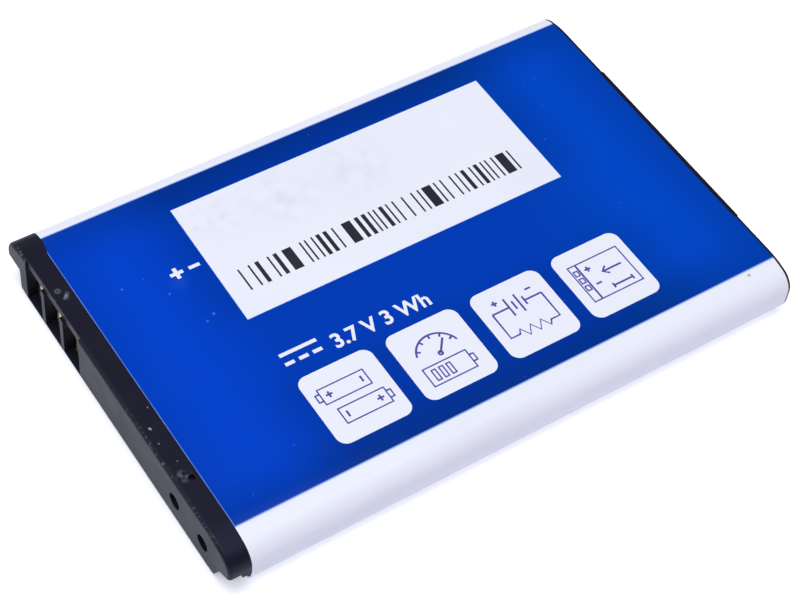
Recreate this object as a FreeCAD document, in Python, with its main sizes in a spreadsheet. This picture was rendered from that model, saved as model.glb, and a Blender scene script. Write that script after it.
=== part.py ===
# Rechargeable battery pack of a mobile phone: a flat cell with a moulded cap at each end, held in a
# printed film wrap. X runs from the contact end (head) to the tail, Y across, Z up through the printed
# face. The origin is under the middle of the pack, on the surface that it lies on.

import FreeCAD
import Part
import Sketcher
import math
import os

sizes = {
    # whole pack, over the wrap and the tail tab
    "pack_length": 51.2,
    "pack_width": 34.0,
    "pack_thickness": 4.75,
    # section of the pack: flat face, gentle crown, tight corner, short upright side
    "crown_radius": 7.5,
    "corner_radius": 1.65,
    "side_drop": 1.89,
    # wrap film
    "film_thickness": 0.1,
    "film_ear_depth": 0.28,
    "film_ear_width": 2.1,
    "film_ear_slope": 1.3,
    # printed label
    "sticker_length": 29.25,
    "sticker_width": 12.2,
    "sticker_thickness": 0.06,
    "sticker_from_head": 9.98,
    "sticker_from_far_side": 4.2,
    # head cap
    "cap_reach": 1.85,
    "cap_skirt": 1.67,
    "cap_front_wall": 1.1,
    "cap_face_wall": 0.5,
    "cap_edge_radius": 0.3,
    "cap_fit": 0.02,
    "chamber_near_margin": 3.2,
    "chamber_far_margin": 2.9,
    "chamber_radius": 0.8,
    "near_notch_height": 1.87,
    "near_notch_width": 1.35,
    "near_notch_slope": 1.0,
    "near_notch_rise": 0.18,
    "near_notch_front_rise": 0.62,
    "near_notch_front_depth": 1.1,
    "far_notch_height": 2.5,
    "far_notch_width": 2.07,
    # contact windows
    "window_width": 2.5,
    "window_rib": 0.52,
    "window_lip": 0.75,
    "window_lip_setback": 0.22,
    "window_sill": 0.34,
    "window_far_margin": 3.21,
    # blind holes of the head cap
    "face_hole_radius": 0.7,
    "face_hole_depth": 0.8,
    "face_hole_height": 2.28,
    "face_hole_from_side": 3.74,
    "face_hole_spacing": 4.01,
    "pin_hole_radius": 0.28,
    "pin_hole_depth": 0.4,
    "pin_hole_from_head": 1.27,
    "pin_hole_from_side": 7.5,
    # tail cap
    "tail_plate": 0.6,
    "tail_rim_proud": 0.11,
    "tail_rim_inset": 0.03,
    "tail_tab_proud": 0.07,
    "tail_tab_undercut": 0.22,
    "tail_tab_near_offset": 9.75,
    "tail_tab_far_offset": 8.45,
    "tail_edge_radius": 0.06,
    "tape_thickness": 0.1,
    "tape_side_margin": 3.6,
    "tape_face_margin": 0.8,
    # protection board and its contacts
    "board_thickness": 0.6,
    "board_fit": 0.1,
    "board_hole_radius": 0.25,
    "board_hole_inset": 0.7,
    "contact_width": 2.2,
    "contact_end_margin": 0.275,
    "contact_edge": 0.2,
    "contact_crown": 0.52,
    # leaded chips on the board
    "chip_length": 2.9,
    "chip_width": 1.6,
    "chip_height": 0.75,
    "switch_length": 3.1,
    "switch_width": 1.9,
    "switch_height": 0.8,
    "leg_width": 0.35,
    "leg_reach": 0.55,
    "leg_thickness": 0.13,
    "leg_pitch": 0.95,
    # small parts on the board
    "resistor_length": 1.0,
    "resistor_width": 0.5,
    "resistor_height": 0.35,
    "capacitor_length": 1.0,
    "capacitor_width": 0.55,
    "capacitor_height": 0.5,
    "thermistor_length": 1.6,
    "thermistor_width": 0.8,
    "thermistor_height": 0.6,
    "end_plating": 0.22,
    "end_plating_proud": 0.03,
    # nickel straps and the thermal fuse
    "strap_thickness": 0.1,
    "strap_width": 2.6,
    "strap_board_foot": 1.7,
    "positive_strap_foot": 3.4,
    "positive_fold_margin": 1.3,
    "fuse_fold_margin": 1.7,
    "fuse_strap_lap": 2.2,
    "negative_strap_lap": 1.6,
    "fuse_start": 3.3,
    "fuse_length": 7.3,
    "fuse_width": 3.0,
    "fuse_corner_radius": 0.4,
    "lead_tape_thickness": 0.06,
    "lead_tape_overhang": 0.6,
    "lead_tape_fold_gap": 2.0,
    "lead_tape_side_gap": 0.275,
    "weld_plate_thickness": 0.2,
    "weld_plate_length": 4.0,
    "weld_plate_width": 3.0,
    # cell can and lid
    "can_wall": 0.3,
    "can_bottom": 0.4,
    "can_bottom_radius": 0.5,
    "vent_length": 9.0,
    "vent_width": 0.4,
    "vent_depth": 0.12,
    "lid_thickness": 0.7,
    "lid_fit": 0.02,
    "paper_thickness": 0.1,
    "paper_gap": 0.1,
    # terminal through the lid
    "terminal_hole_radius": 1.2,
    "gasket_side_gap": 0.375,
    "gasket_flange": 0.15,
    "rivet_radius": 0.75,
    "rivet_head_inset": 0.1,
    "rivet_head": 0.25,
    "rivet_foot_radius": 1.1,
    "rivet_foot": 0.2,
    "round_fit": 0.02,
    "inner_insulator_length": 11.0,
    "inner_insulator_side_gap": 0.325,
    "inner_insulator_thickness": 0.15,
    "inner_terminal_length": 8.4,
    "inner_terminal_side_gap": 0.675,
    "inner_terminal_thickness": 0.2,
    "inner_plate_shift": 2.4,
    # filling hole
    "fill_hole_radius": 0.6,
    "plug_head_radius": 0.95,
    "plug_head": 0.12,
    # electrode roll with its tabs and sheets
    "roll_head_room": 2.2,
    "roll_gap": 0.1,
    "sheet_thickness": 0.2,
    "sheet_gap": 0.1,
    "tab_thickness": 0.1,
    "tab_width": 3.0,
    "tab_foot": 1.3,
    "tab_slot_gap": 0.15,
    "positive_tab_shift": 1.1,
    "negative_tab_shift": 1.8,
}

contact_names = ["contact_positive", "contact_data", "contact_negative"]
resistor_count = 3
capacitor_count = 2
legs_per_side = 3

doc = FreeCAD.newDocument("phone_battery")
sheet = doc.addObject("Spreadsheet::Sheet", "sizes")
for row, (name, number) in enumerate(sizes.items(), start=1):
    sheet.set(f"A{row}", name)
    sheet.set(f"B{row}", str(number))
    sheet.setAlias(f"B{row}", name)
doc.recompute()

# Places along X, from the head face to the tail, as expressions on the sheet
head_face = "-sizes.pack_length / 2"
film_head = f"{head_face} + sizes.cap_reach"
lid_face = f"{film_head} + sizes.cap_skirt"
board_front = f"{head_face} + sizes.cap_front_wall"
board_back = f"{board_front} + sizes.board_thickness"
lid_back = f"{lid_face} + sizes.lid_thickness"
gasket_face = f"{lid_face} - sizes.gasket_flange"
strap_seat = f"{gasket_face} - sizes.rivet_head"
strap_front = f"{strap_seat} - sizes.strap_thickness"
paper_face = f"{lid_face} - sizes.paper_thickness"
weld_plate_face = f"{lid_face} - sizes.weld_plate_thickness"
inner_terminal_face = f"{lid_back} + sizes.inner_insulator_thickness"
inner_terminal_back = f"{inner_terminal_face} + sizes.inner_terminal_thickness"
roll_head = f"{lid_back} + sizes.roll_head_room"
ear_edge = f"{film_head} + sizes.film_ear_depth"
tail_end = "sizes.pack_length / 2"
plate_face = f"{tail_end} - sizes.tail_tab_proud"
film_tail = f"{plate_face} - sizes.tail_rim_proud"
plate_back = f"{plate_face} - sizes.tail_plate"
can_tail = f"{plate_back} - sizes.tape_thickness"
can_floor = f"{can_tail} - sizes.can_bottom"
roll_tail = f"{can_floor} - sizes.sheet_thickness"

# Places across and up
near_side = "-sizes.pack_width / 2"
far_side = "sizes.pack_width / 2"
middle = "sizes.pack_thickness / 2"
top_face = "sizes.pack_thickness"
cell_inset = "sizes.film_thickness"
bore_inset = "sizes.film_thickness + sizes.can_wall"
chamber_near = f"{near_side} + sizes.chamber_near_margin"
chamber_far = f"{far_side} - sizes.chamber_far_margin"
chamber_low = "sizes.cap_face_wall"
chamber_high = f"{top_face} - sizes.cap_face_wall"
first_window = f"{far_side} - sizes.window_far_margin - sizes.window_width / 2"
window_pitch = "(sizes.window_width + sizes.window_rib)"
ear_end = f"{far_side} - sizes.film_ear_width"
ear_start = f"{ear_end} - sizes.film_ear_slope"
bore_half_height = f"({middle} - {cell_inset} - sizes.can_wall)"

# Terminal, plug and straps along Y: the terminal's axis is at 0
gasket_radius = f"({middle} - {chamber_low} - sizes.gasket_side_gap)"
rivet_head_radius = f"({gasket_radius} - sizes.rivet_head_inset)"
positive_fold = f"{chamber_near} + sizes.positive_fold_margin"
fuse_fold = f"{chamber_far} - sizes.fuse_fold_margin"
fuse_end = "sizes.fuse_start + sizes.fuse_length"
weld_plate_end = f"{positive_fold} + sizes.weld_plate_length"
weld_plate_place = f"{positive_fold} + sizes.weld_plate_length / 2"
fill_hole_place = f"({weld_plate_end} - {gasket_radius}) / 2"
positive_tab_place = f"{weld_plate_place} + sizes.positive_tab_shift"
negative_tab_place = "sizes.inner_plate_shift + sizes.negative_tab_shift"

# Parts on the board's back, in order from the near side, spread evenly between the straps' feet
board_part_widths = ["sizes.chip_length", "sizes.switch_length"]
board_part_widths += ["sizes.resistor_width"] * resistor_count
board_part_widths += ["sizes.capacitor_width"] * capacitor_count
board_part_widths += ["sizes.thermistor_width"]
near_foot_end = f"{positive_fold} + sizes.strap_board_foot"
far_foot_end = f"{fuse_fold} - sizes.strap_board_foot"
board_part_gap = (f"({far_foot_end} - ({near_foot_end}) - {' - '.join(board_part_widths)})"
                  f" / {len(board_part_widths) + 1}")


def board_place(order):
    """Middle of one part in the row on the board's back."""
    before = " + ".join([f"{order + 1} * {board_part_gap}"] + board_part_widths[:order])
    return f"{near_foot_end} + {before} + {board_part_widths[order]} / 2"


def value(text):
    """Number that an expression on the sheet gives now."""
    return float(sheet.evalExpression(text))


def new_body(label):
    body = doc.addObject("PartDesign::Body", label)
    body.Label = label
    return body


def new_sketch(body, role, distance):
    """Empty sketch on one of the body's own origin planes, set off along the plane's normal."""
    sketch = body.newObject("Sketcher::SketchObject", "sketch")
    plane = next(item for item in body.Origin.OriginFeatures if item.Role == role)
    sketch.AttachmentSupport = (plane, [""])
    sketch.MapMode = "FlatFace"
    sketch.setExpression("AttachmentOffset.Base.z", distance)
    return sketch


def across_sketch(body, x):
    """Sketch across the pack at x: its own axes are Y and Z."""
    return new_sketch(body, "YZ_Plane", x)


def plan_sketch(body, z):
    """Sketch seen from above at height z: its own axes are X and Y."""
    return new_sketch(body, "XY_Plane", z)


def side_sketch(body, y):
    """Sketch seen from the near side at y: its own axes are X and Z."""
    return new_sketch(body, "XZ_Plane", f"-({y})")


def dimension(sketch, kind, places, text):
    """Driving dimension bound to the sheet."""
    index = sketch.addConstraint(Sketcher.Constraint(kind, *places, value(text)))
    sketch.setExpression(f"Constraints[{index}]", text)


def place_point(sketch, geometry, point, across, up):
    dimension(sketch, "DistanceX", (-1, 1, geometry, point), across)
    dimension(sketch, "DistanceY", (-1, 1, geometry, point), up)


def draw_circle(sketch, across, up, radius):
    centre = FreeCAD.Vector(value(across), value(up), 0)
    index = sketch.addGeometry(Part.Circle(centre, FreeCAD.Vector(0, 0, 1), value(radius)))
    place_point(sketch, index, 3, across, up)
    dimension(sketch, "Radius", (index,), radius)


def draw_polygon(sketch, corners):
    """Closed outline with each corner placed by two expressions."""
    points = [FreeCAD.Vector(value(across), value(up), 0) for across, up in corners]
    first = sketch.GeometryCount
    for start, end in zip(points, points[1:] + points[:1]):
        sketch.addGeometry(Part.LineSegment(start, end))
    for index, (across, up) in enumerate(corners):
        following = first + (index + 1) % len(corners)
        sketch.addConstraint(Sketcher.Constraint("Coincident", first + index, 2, following, 1))
        place_point(sketch, first + index, 1, across, up)


def draw_box(sketch, left, right, low, high):
    draw_polygon(sketch, [(left, low), (right, low), (right, high), (left, high)])


def arc_about(centre, radius, start_degrees, end_degrees):
    circle = Part.Circle(FreeCAD.Vector(*centre, 0), FreeCAD.Vector(0, 0, 1), radius)
    return Part.ArcOfCircle(circle, math.radians(start_degrees), math.radians(end_degrees))


def draw_rounded_box(sketch, left, right, low, high, radius):
    """Rectangle with four tangent corner arcs, drawn anticlockwise."""
    west, east, south, north = (value(text) for text in (left, right, low, high))
    r = value(radius)
    corners = [(east - r, south + r, -90), (east - r, north - r, 0),
               (west + r, north - r, 90), (west + r, south + r, 180)]
    sides = [((west + r, south), (east - r, south)), ((east, south + r), (east, north - r)),
             ((east - r, north), (west + r, north)), ((west, north - r), (west, south + r))]
    first = sketch.GeometryCount
    for (start, end), (across, up, turn) in zip(sides, corners):
        sketch.addGeometry(Part.LineSegment(FreeCAD.Vector(*start, 0), FreeCAD.Vector(*end, 0)))
        sketch.addGeometry(arc_about((across, up), r, turn, turn + 90))
    for index in range(4):
        line = first + 2 * index
        following = first + (2 * index + 2) % 8
        sketch.addConstraint(Sketcher.Constraint("Tangent", line, 2, line + 1, 1))
        sketch.addConstraint(Sketcher.Constraint("Tangent", line + 1, 2, following, 1))
        direction = "Horizontal" if index % 2 == 0 else "Vertical"
        sketch.addConstraint(Sketcher.Constraint(direction, line))
        if index:
            sketch.addConstraint(Sketcher.Constraint("Equal", first + 1, line + 1))
    dimension(sketch, "Radius", (first + 1,), radius)
    dimension(sketch, "DistanceY", (-1, 1, first, 1), low)
    dimension(sketch, "DistanceX", (-1, 1, first + 2, 1), right)
    dimension(sketch, "DistanceY", (-1, 1, first + 4, 1), high)
    dimension(sketch, "DistanceX", (-1, 1, first + 6, 1), left)


def draw_pack_outline(sketch, inset):
    """Section of the pack, drawn in by an inset: two flat faces, four crowns, four tight corners and
    two upright sides, all tangent."""
    half_width = f"{far_side} - ({inset})"
    low = f"{inset}"
    high = f"{top_face} - ({inset})"
    side_top = f"{top_face} - sizes.side_drop"
    side_low = "sizes.side_drop"
    crown = f"sizes.crown_radius - ({inset})"
    corner = f"sizes.corner_radius - ({inset})"

    r, big = value(corner), value(crown)
    east, south, north = value(half_width), value(low), value(high)
    upper, lower = value(side_top), value(side_low)
    rise = big - (north - upper)
    lean = math.asin(rise / (big - r))
    turn = math.degrees(lean)
    flat = east - r - (big - r) * math.cos(lean)

    pieces = []
    pieces.append(Part.LineSegment(FreeCAD.Vector(-flat, south, 0), FreeCAD.Vector(flat, south, 0)))
    pieces.append(arc_about((flat, south + big), big, -90, -turn))
    pieces.append(arc_about((east - r, lower), r, -turn, 0))
    pieces.append(Part.LineSegment(FreeCAD.Vector(east, lower, 0), FreeCAD.Vector(east, upper, 0)))
    pieces.append(arc_about((east - r, upper), r, 0, turn))
    pieces.append(arc_about((flat, north - big), big, turn, 90))
    pieces.append(Part.LineSegment(FreeCAD.Vector(flat, north, 0), FreeCAD.Vector(-flat, north, 0)))
    pieces.append(arc_about((-flat, north - big), big, 90, 180 - turn))
    pieces.append(arc_about((r - east, upper), r, 180 - turn, 180))
    pieces.append(Part.LineSegment(FreeCAD.Vector(-east, upper, 0), FreeCAD.Vector(-east, lower, 0)))
    pieces.append(arc_about((r - east, lower), r, 180, 180 + turn))
    pieces.append(arc_about((-flat, south + big), big, 180 + turn, 270))
    first = sketch.GeometryCount
    for piece in pieces:
        sketch.addGeometry(piece)
    for index in range(len(pieces)):
        following = first + (index + 1) % len(pieces)
        sketch.addConstraint(Sketcher.Constraint("Tangent", first + index, 2, following, 1))
    bottom_line, right_line, top_line, left_line = first, first + 3, first + 6, first + 9
    for line in (bottom_line, top_line):
        sketch.addConstraint(Sketcher.Constraint("Horizontal", line))
    for line in (right_line, left_line):
        sketch.addConstraint(Sketcher.Constraint("Vertical", line))
    crowns = [first + 1, first + 5, first + 7, first + 11]
    corners = [first + 2, first + 4, first + 8, first + 10]
    for group, radius in ((crowns, crown), (corners, corner)):
        for other in group[1:]:
            sketch.addConstraint(Sketcher.Constraint("Equal", group[0], other))
        dimension(sketch, "Radius", (group[0],), radius)
    dimension(sketch, "DistanceY", (-1, 1, bottom_line, 1), low)
    dimension(sketch, "DistanceY", (-1, 1, top_line, 1), high)
    dimension(sketch, "DistanceX", (-1, 1, right_line, 1), half_width)
    dimension(sketch, "DistanceX", (-1, 1, left_line, 1), f"-({half_width})")
    dimension(sketch, "DistanceY", (-1, 1, right_line, 1), side_low)
    dimension(sketch, "DistanceY", (-1, 1, right_line, 2), side_top)
    dimension(sketch, "DistanceY", (-1, 1, left_line, 1), side_top)
    dimension(sketch, "DistanceY", (-1, 1, left_line, 2), side_low)


def pad(body, sketch, length, centred=False):
    """Adds the sketch's area swept along its normal, or half each way."""
    feature = body.newObject("PartDesign::Pad", "pad")
    feature.Profile = sketch
    feature.setExpression("Length", length)
    feature.Midplane = centred
    doc.recompute()
    return feature


def pocket(body, sketch, length, towards_normal=False, centred=False):
    """Cuts the sketch's area to a depth, and stops if the cut takes nothing away."""
    before = body.Shape.Volume
    feature = body.newObject("PartDesign::Pocket", "pocket")
    feature.Profile = sketch
    feature.setExpression("Length", length)
    feature.Midplane = centred
    feature.Reversed = towards_normal
    doc.recompute()
    if not body.Shape.Volume < before:
        raise ValueError(f"a pocket of {body.Label} cuts nothing")
    return feature


def repeat_across(body, feature, count, spacing):
    """Repeats a feature along the pack's width, towards the near side."""
    pattern = body.newObject("PartDesign::LinearPattern", "pattern")
    axis = next(item for item in body.Origin.OriginFeatures if item.Role == "Y_Axis")
    pattern.Originals = [feature]
    pattern.Direction = (axis, [""])
    pattern.Reversed = True
    pattern.Occurrences = count
    pattern.setExpression("Length", f"{count - 1} * ({spacing})")
    body.Tip = pattern
    doc.recompute()
    return pattern


def edges_at(shape, x):
    """Names of the edges that lie wholly in the plane at x."""
    names = []
    for index, edge in enumerate(shape.Edges, start=1):
        box = edge.BoundBox
        if math.isclose(box.XMin, x, abs_tol=1e-4) and math.isclose(box.XMax, x, abs_tol=1e-4):
            names.append(f"Edge{index}")
    return names


def fillet_edges_at(body, x, radius):
    base = body.Tip
    feature = body.newObject("PartDesign::Fillet", "fillet")
    feature.Base = (base, edges_at(base.Shape, value(x)))
    feature.setExpression("Radius", radius)
    doc.recompute()
    return feature


def flat_plate(label, x, thickness, left, right, width):
    """Thin rectangular piece across the pack, centred in its height."""
    body = new_body(label)
    sketch = across_sketch(body, x)
    draw_box(sketch, left, right, f"{middle} - ({width}) / 2", f"{middle} + ({width}) / 2")
    pad(body, sketch, thickness)
    return body


def make_wrap_film():
    """Tube of film round the cell and the caps' skirts, cut back at a head corner and at the tail tab."""
    body = new_body("wrap_film")
    section = across_sketch(body, film_head)
    draw_pack_outline(section, "0")
    draw_pack_outline(section, "sizes.film_thickness")
    pad(body, section, f"{film_tail} - ({film_head})")
    cuts = plan_sketch(body, middle)
    draw_polygon(cuts, [(head_face, ear_start), (film_head, ear_start), (ear_edge, ear_end),
                        (ear_edge, "sizes.pack_width"), (head_face, "sizes.pack_width")])
    draw_box(cuts, f"{film_tail} - sizes.tail_tab_undercut", "sizes.pack_length",
             "-sizes.tail_tab_near_offset", "sizes.tail_tab_far_offset")
    pocket(body, cuts, "2 * sizes.pack_thickness", centred=True)
    return body


def make_label_sticker():
    body = new_body("label_sticker")
    start = f"{film_head} + sizes.sticker_from_head"
    edge = f"{far_side} - sizes.sticker_from_far_side"
    outline = plan_sketch(body, top_face)
    draw_box(outline, start, f"{start} + sizes.sticker_length", f"{edge} - sizes.sticker_width", edge)
    pad(body, outline, "sizes.sticker_thickness")
    return body


def make_head_cap():
    """Moulded cap: a full-section nose, a skirt under the film, a chamber for the board, windows for
    the contacts, locating holes and two corner notches."""
    body = new_body("head_cap")
    nose = across_sketch(body, head_face)
    draw_pack_outline(nose, "0")
    pad(body, nose, "sizes.cap_reach + sizes.film_ear_depth")
    fillet_edges_at(body, head_face, "sizes.cap_edge_radius")
    ear = plan_sketch(body, middle)
    draw_polygon(ear, [(film_head, "-sizes.pack_width"), ("0", "-sizes.pack_width"), ("0", ear_end),
                       (ear_edge, ear_end), (film_head, ear_start)])
    pocket(body, ear, "2 * sizes.pack_thickness", centred=True)
    skirt = across_sketch(body, film_head)
    draw_pack_outline(skirt, "sizes.film_thickness + sizes.cap_fit")
    pad(body, skirt, "sizes.cap_skirt")

    chamber = across_sketch(body, lid_face)
    draw_rounded_box(chamber, chamber_near, chamber_far, chamber_low, chamber_high,
                     "sizes.chamber_radius")
    pocket(body, chamber, f"{lid_face} - ({board_front})")

    window = side_sketch(body, first_window)
    ahead = f"{head_face} - sizes.cap_front_wall"
    window_top = f"{top_face} - sizes.window_lip"
    draw_polygon(window, [(ahead, "2 * sizes.window_sill - sizes.cap_face_wall"),
                          (board_front, "sizes.cap_face_wall"), (board_front, window_top),
                          (ahead, window_top)])
    opening = pocket(body, window, "sizes.window_width", centred=True)
    repeat_across(body, opening, len(contact_names), window_pitch)
    lip = across_sketch(body, head_face)
    windows_far = f"{first_window} + sizes.window_width / 2"
    windows_near = f"{windows_far} - {len(contact_names)} * {window_pitch} + sizes.window_rib"
    draw_box(lip, windows_near, windows_far, window_top, "2 * sizes.pack_thickness")
    pocket(body, lip, "sizes.window_lip_setback", towards_normal=True)

    notches = across_sketch(body, head_face)
    near_wall = f"{near_side} + sizes.near_notch_width"
    notch_side = "sizes.near_notch_height + sizes.near_notch_rise"
    draw_polygon(notches, [("-sizes.pack_width", "0"), (f"{near_wall} + sizes.near_notch_slope", "0"),
                           (near_wall, "sizes.near_notch_height"), (near_side, notch_side),
                           ("-sizes.pack_width", notch_side)])
    draw_box(notches, f"{far_side} - sizes.far_notch_width", "sizes.pack_width", "0",
             "sizes.far_notch_height")
    pocket(body, notches, "sizes.cap_reach", towards_normal=True)
    front_notch = across_sketch(body, head_face)
    notch_side = "sizes.near_notch_height + sizes.near_notch_front_rise"
    draw_polygon(front_notch, [(near_wall, "sizes.near_notch_height"), (near_side, notch_side),
                               ("-sizes.pack_width", notch_side),
                               ("-sizes.pack_width", "sizes.near_notch_height")])
    pocket(body, front_notch, "sizes.near_notch_front_depth", towards_normal=True)

    face_holes = across_sketch(body, head_face)
    first_hole = f"{near_side} + sizes.face_hole_from_side"
    for place in (first_hole, f"{first_hole} + sizes.face_hole_spacing"):
        draw_circle(face_holes, place, "sizes.face_hole_height", "sizes.face_hole_radius")
    pocket(body, face_holes, "sizes.face_hole_depth", towards_normal=True)
    pin_hole = plan_sketch(body, top_face)
    draw_circle(pin_hole, f"{head_face} + sizes.pin_hole_from_head",
                f"{near_side} + sizes.pin_hole_from_side", "sizes.pin_hole_radius")
    pocket(body, pin_hole, "sizes.pin_hole_depth")
    return body


def make_tail_cap():
    """End plate inside the film, with a rim over the film's end and a tab that stands through the
    film's cut-out."""
    body = new_body("tail_cap")
    plate = across_sketch(body, plate_back)
    draw_pack_outline(plate, "sizes.film_thickness + sizes.cap_fit")
    pad(body, plate, "sizes.tail_plate")
    rim = across_sketch(body, film_tail)
    draw_pack_outline(rim, "sizes.tail_rim_inset")
    pad(body, rim, "sizes.tail_rim_proud")
    fillet_edges_at(body, plate_face, "sizes.tail_edge_radius")
    tab = across_sketch(body, f"{film_tail} - sizes.tail_tab_undercut")
    draw_box(tab, "-sizes.tail_tab_near_offset", "sizes.tail_tab_far_offset", "0", top_face)
    pad(body, tab, "sizes.tail_tab_undercut + sizes.tail_rim_proud + sizes.tail_tab_proud")
    fillet_edges_at(body, tail_end, "sizes.tail_edge_radius")
    return body


def make_board():
    body = new_body("circuit_board")
    outline = across_sketch(body, board_front)
    near = f"{chamber_near} + sizes.board_fit"
    far = f"{chamber_far} - sizes.board_fit"
    draw_rounded_box(outline, near, far, f"{chamber_low} + sizes.board_fit",
                     f"{chamber_high} - sizes.board_fit",
                     "sizes.chamber_radius - sizes.board_fit")
    for place in (f"{near} + sizes.board_hole_inset", f"{far} - sizes.board_hole_inset"):
        draw_circle(outline, place, middle, "sizes.board_hole_radius")
    pad(body, outline, "sizes.board_thickness")
    return body


def make_contact(label, position):
    """Plated contact soldered to the board's front, crowned towards its window."""
    body = new_body(label)
    centre = f"{first_window} - {position} * {window_pitch}"
    near = f"{centre} - sizes.contact_width / 2"
    far = f"{centre} + sizes.contact_width / 2"
    rim = f"{board_front} - sizes.contact_edge"
    crest = f"{board_front} - sizes.contact_crown"
    end_margin = "sizes.board_fit + sizes.contact_end_margin"
    outline = plan_sketch(body, f"{chamber_low} + {end_margin}")
    start = FreeCAD.Vector(value(rim), value(far), 0)
    end = FreeCAD.Vector(value(rim), value(near), 0)
    foot_start = FreeCAD.Vector(value(board_front), value(near), 0)
    foot_end = FreeCAD.Vector(value(board_front), value(far), 0)
    top = FreeCAD.Vector(value(crest), value(centre), 0)
    outline.addGeometry(Part.Arc(start, top, end))
    outline.addGeometry(Part.LineSegment(end, foot_start))
    outline.addGeometry(Part.LineSegment(foot_start, foot_end))
    outline.addGeometry(Part.LineSegment(foot_end, start))
    for this, point, other, other_point in ((0, 2, 1, 1), (1, 2, 2, 1), (2, 2, 3, 1), (3, 2, 0, 1)):
        outline.addConstraint(Sketcher.Constraint("Coincident", this, point, other, other_point))
    place_point(outline, 1, 1, rim, near)
    place_point(outline, 2, 1, board_front, near)
    place_point(outline, 3, 1, board_front, far)
    place_point(outline, 0, 1, rim, far)
    bow = "(sizes.contact_crown - sizes.contact_edge)"
    dimension(outline, "Radius", (0,), f"(sizes.contact_width ^ 2 / 4 + {bow} ^ 2) / (2 * {bow})")
    pad(body, outline, f"{chamber_high} - {chamber_low} - 2 * ({end_margin})")
    return body


def make_chip(label, centre, length, width, height):
    """Moulded chip on the board's back with bent legs along both long sides."""
    body = new_body(label)
    block = across_sketch(body, f"{board_back} + sizes.leg_thickness")
    draw_box(block, f"{centre} - {length} / 2", f"{centre} + {length} / 2",
             f"{middle} - {width} / 2", f"{middle} + {width} / 2")
    pad(body, block, f"{height} - sizes.leg_thickness")
    last_leg = f"{centre} + {legs_per_side - 1} * sizes.leg_pitch / 2"
    legs = side_sketch(body, last_leg)
    shoulder = f"{board_back} + {height} / 2"
    knee = f"{shoulder} + sizes.leg_thickness"
    for sign in ("+", "-"):
        root = f"{middle} {sign} {width} / 2"
        bend = f"{root} {sign} sizes.leg_reach / 2"
        inner_bend = f"{root} {sign} (sizes.leg_reach / 2 - sizes.leg_thickness)"
        toe = f"{root} {sign} sizes.leg_reach"
        draw_polygon(legs, [(shoulder, root), (shoulder, inner_bend), (board_back, inner_bend),
                            (board_back, toe), (f"{board_back} + sizes.leg_thickness", toe),
                            (f"{board_back} + sizes.leg_thickness", bend), (knee, bend),
                            (knee, root)])
    leg = pad(body, legs, "sizes.leg_width", centred=True)
    repeat_across(body, leg, legs_per_side, "sizes.leg_pitch")
    return body


def make_small_parts(label, first_order, kind, count):
    """Row of chip resistors or capacitors: ceramic blocks with plated ends, on the board's back."""
    blocks = []
    for order in range(first_order, first_order + count):
        centre = board_place(order)
        length, width, height = (f"sizes.{kind}_{side}" for side in ("length", "width", "height"))
        shapes = []
        low_end = f"{middle} - {length} / 2"
        high_end = f"{middle} + {length} / 2 - sizes.end_plating"
        ends = [(low_end, "sizes.end_plating", "sizes.end_plating_proud"),
                (high_end, "sizes.end_plating", "sizes.end_plating_proud"),
                (low_end, length, "0")]
        for low, tall, proud in ends:
            box = doc.addObject("Part::Box", "block")
            box.setExpression("Length", f"{height} + {proud}")
            box.setExpression("Width", f"{width} + 2 * {proud}")
            box.setExpression("Height", tall)
            box.setExpression("Placement.Base.x", board_back)
            box.setExpression("Placement.Base.y", f"{centre} - {width} / 2 - {proud}")
            box.setExpression("Placement.Base.z", low)
            shapes.append(box)
        block = doc.addObject("Part::MultiFuse", "block")
        block.Shapes = shapes
        blocks.append(block)
    if count == 1:
        group = blocks[0]
    else:
        group = doc.addObject("Part::Compound", "row")
        group.Links = blocks
    group.Label = label
    doc.recompute()
    return group


def make_folded_strap(label, seat, fold, seat_toe, inward):
    """Nickel strap folded back on itself: one foot on its seat by the lid, one on the board's back."""
    body = new_body(label)
    inner = f"{fold} {inward} sizes.strap_thickness"
    board_toe = f"{fold} {inward} sizes.strap_board_foot"
    board_side = f"{board_back} + sizes.strap_thickness"
    seat_side = f"{seat} - sizes.strap_thickness"
    outline = plan_sketch(body, middle)
    draw_polygon(outline, [(seat, seat_toe), (seat, fold), (board_back, fold),
                           (board_back, board_toe), (board_side, board_toe), (board_side, inner),
                           (seat_side, inner), (seat_side, seat_toe)])
    pad(body, outline, "sizes.strap_width", centred=True)
    return body


def make_thermal_fuse():
    body = new_body("thermal_fuse")
    outline = across_sketch(body, strap_seat)
    draw_rounded_box(outline, "sizes.fuse_start", fuse_end, f"{middle} - sizes.fuse_width / 2",
                     f"{middle} + sizes.fuse_width / 2", "sizes.fuse_corner_radius")
    pad(body, outline, f"{paper_face} - ({strap_seat})")
    return body


def make_lid_paper():
    """Insulating paper on the lid, cut out round the terminal, the filling plug and the weld plate."""
    body = new_body("lid_paper")
    outline = across_sketch(body, paper_face)
    draw_rounded_box(outline, f"{chamber_near} + sizes.paper_gap",
                     f"{chamber_far} - sizes.paper_gap",
                     f"{chamber_low} + sizes.paper_gap", f"{chamber_high} - sizes.paper_gap",
                     "sizes.chamber_radius - sizes.paper_gap")
    draw_circle(outline, "0", middle, f"{gasket_radius} + sizes.paper_gap")
    draw_circle(outline, fill_hole_place, middle, "sizes.plug_head_radius + sizes.paper_gap")
    plate_reach = "(sizes.weld_plate_width / 2 + sizes.paper_gap)"
    draw_box(outline, f"{positive_fold} - sizes.paper_gap", f"{weld_plate_end} + sizes.paper_gap",
             f"{middle} - {plate_reach}", f"{middle} + {plate_reach}")
    pad(body, outline, "sizes.paper_thickness")
    return body


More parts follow.
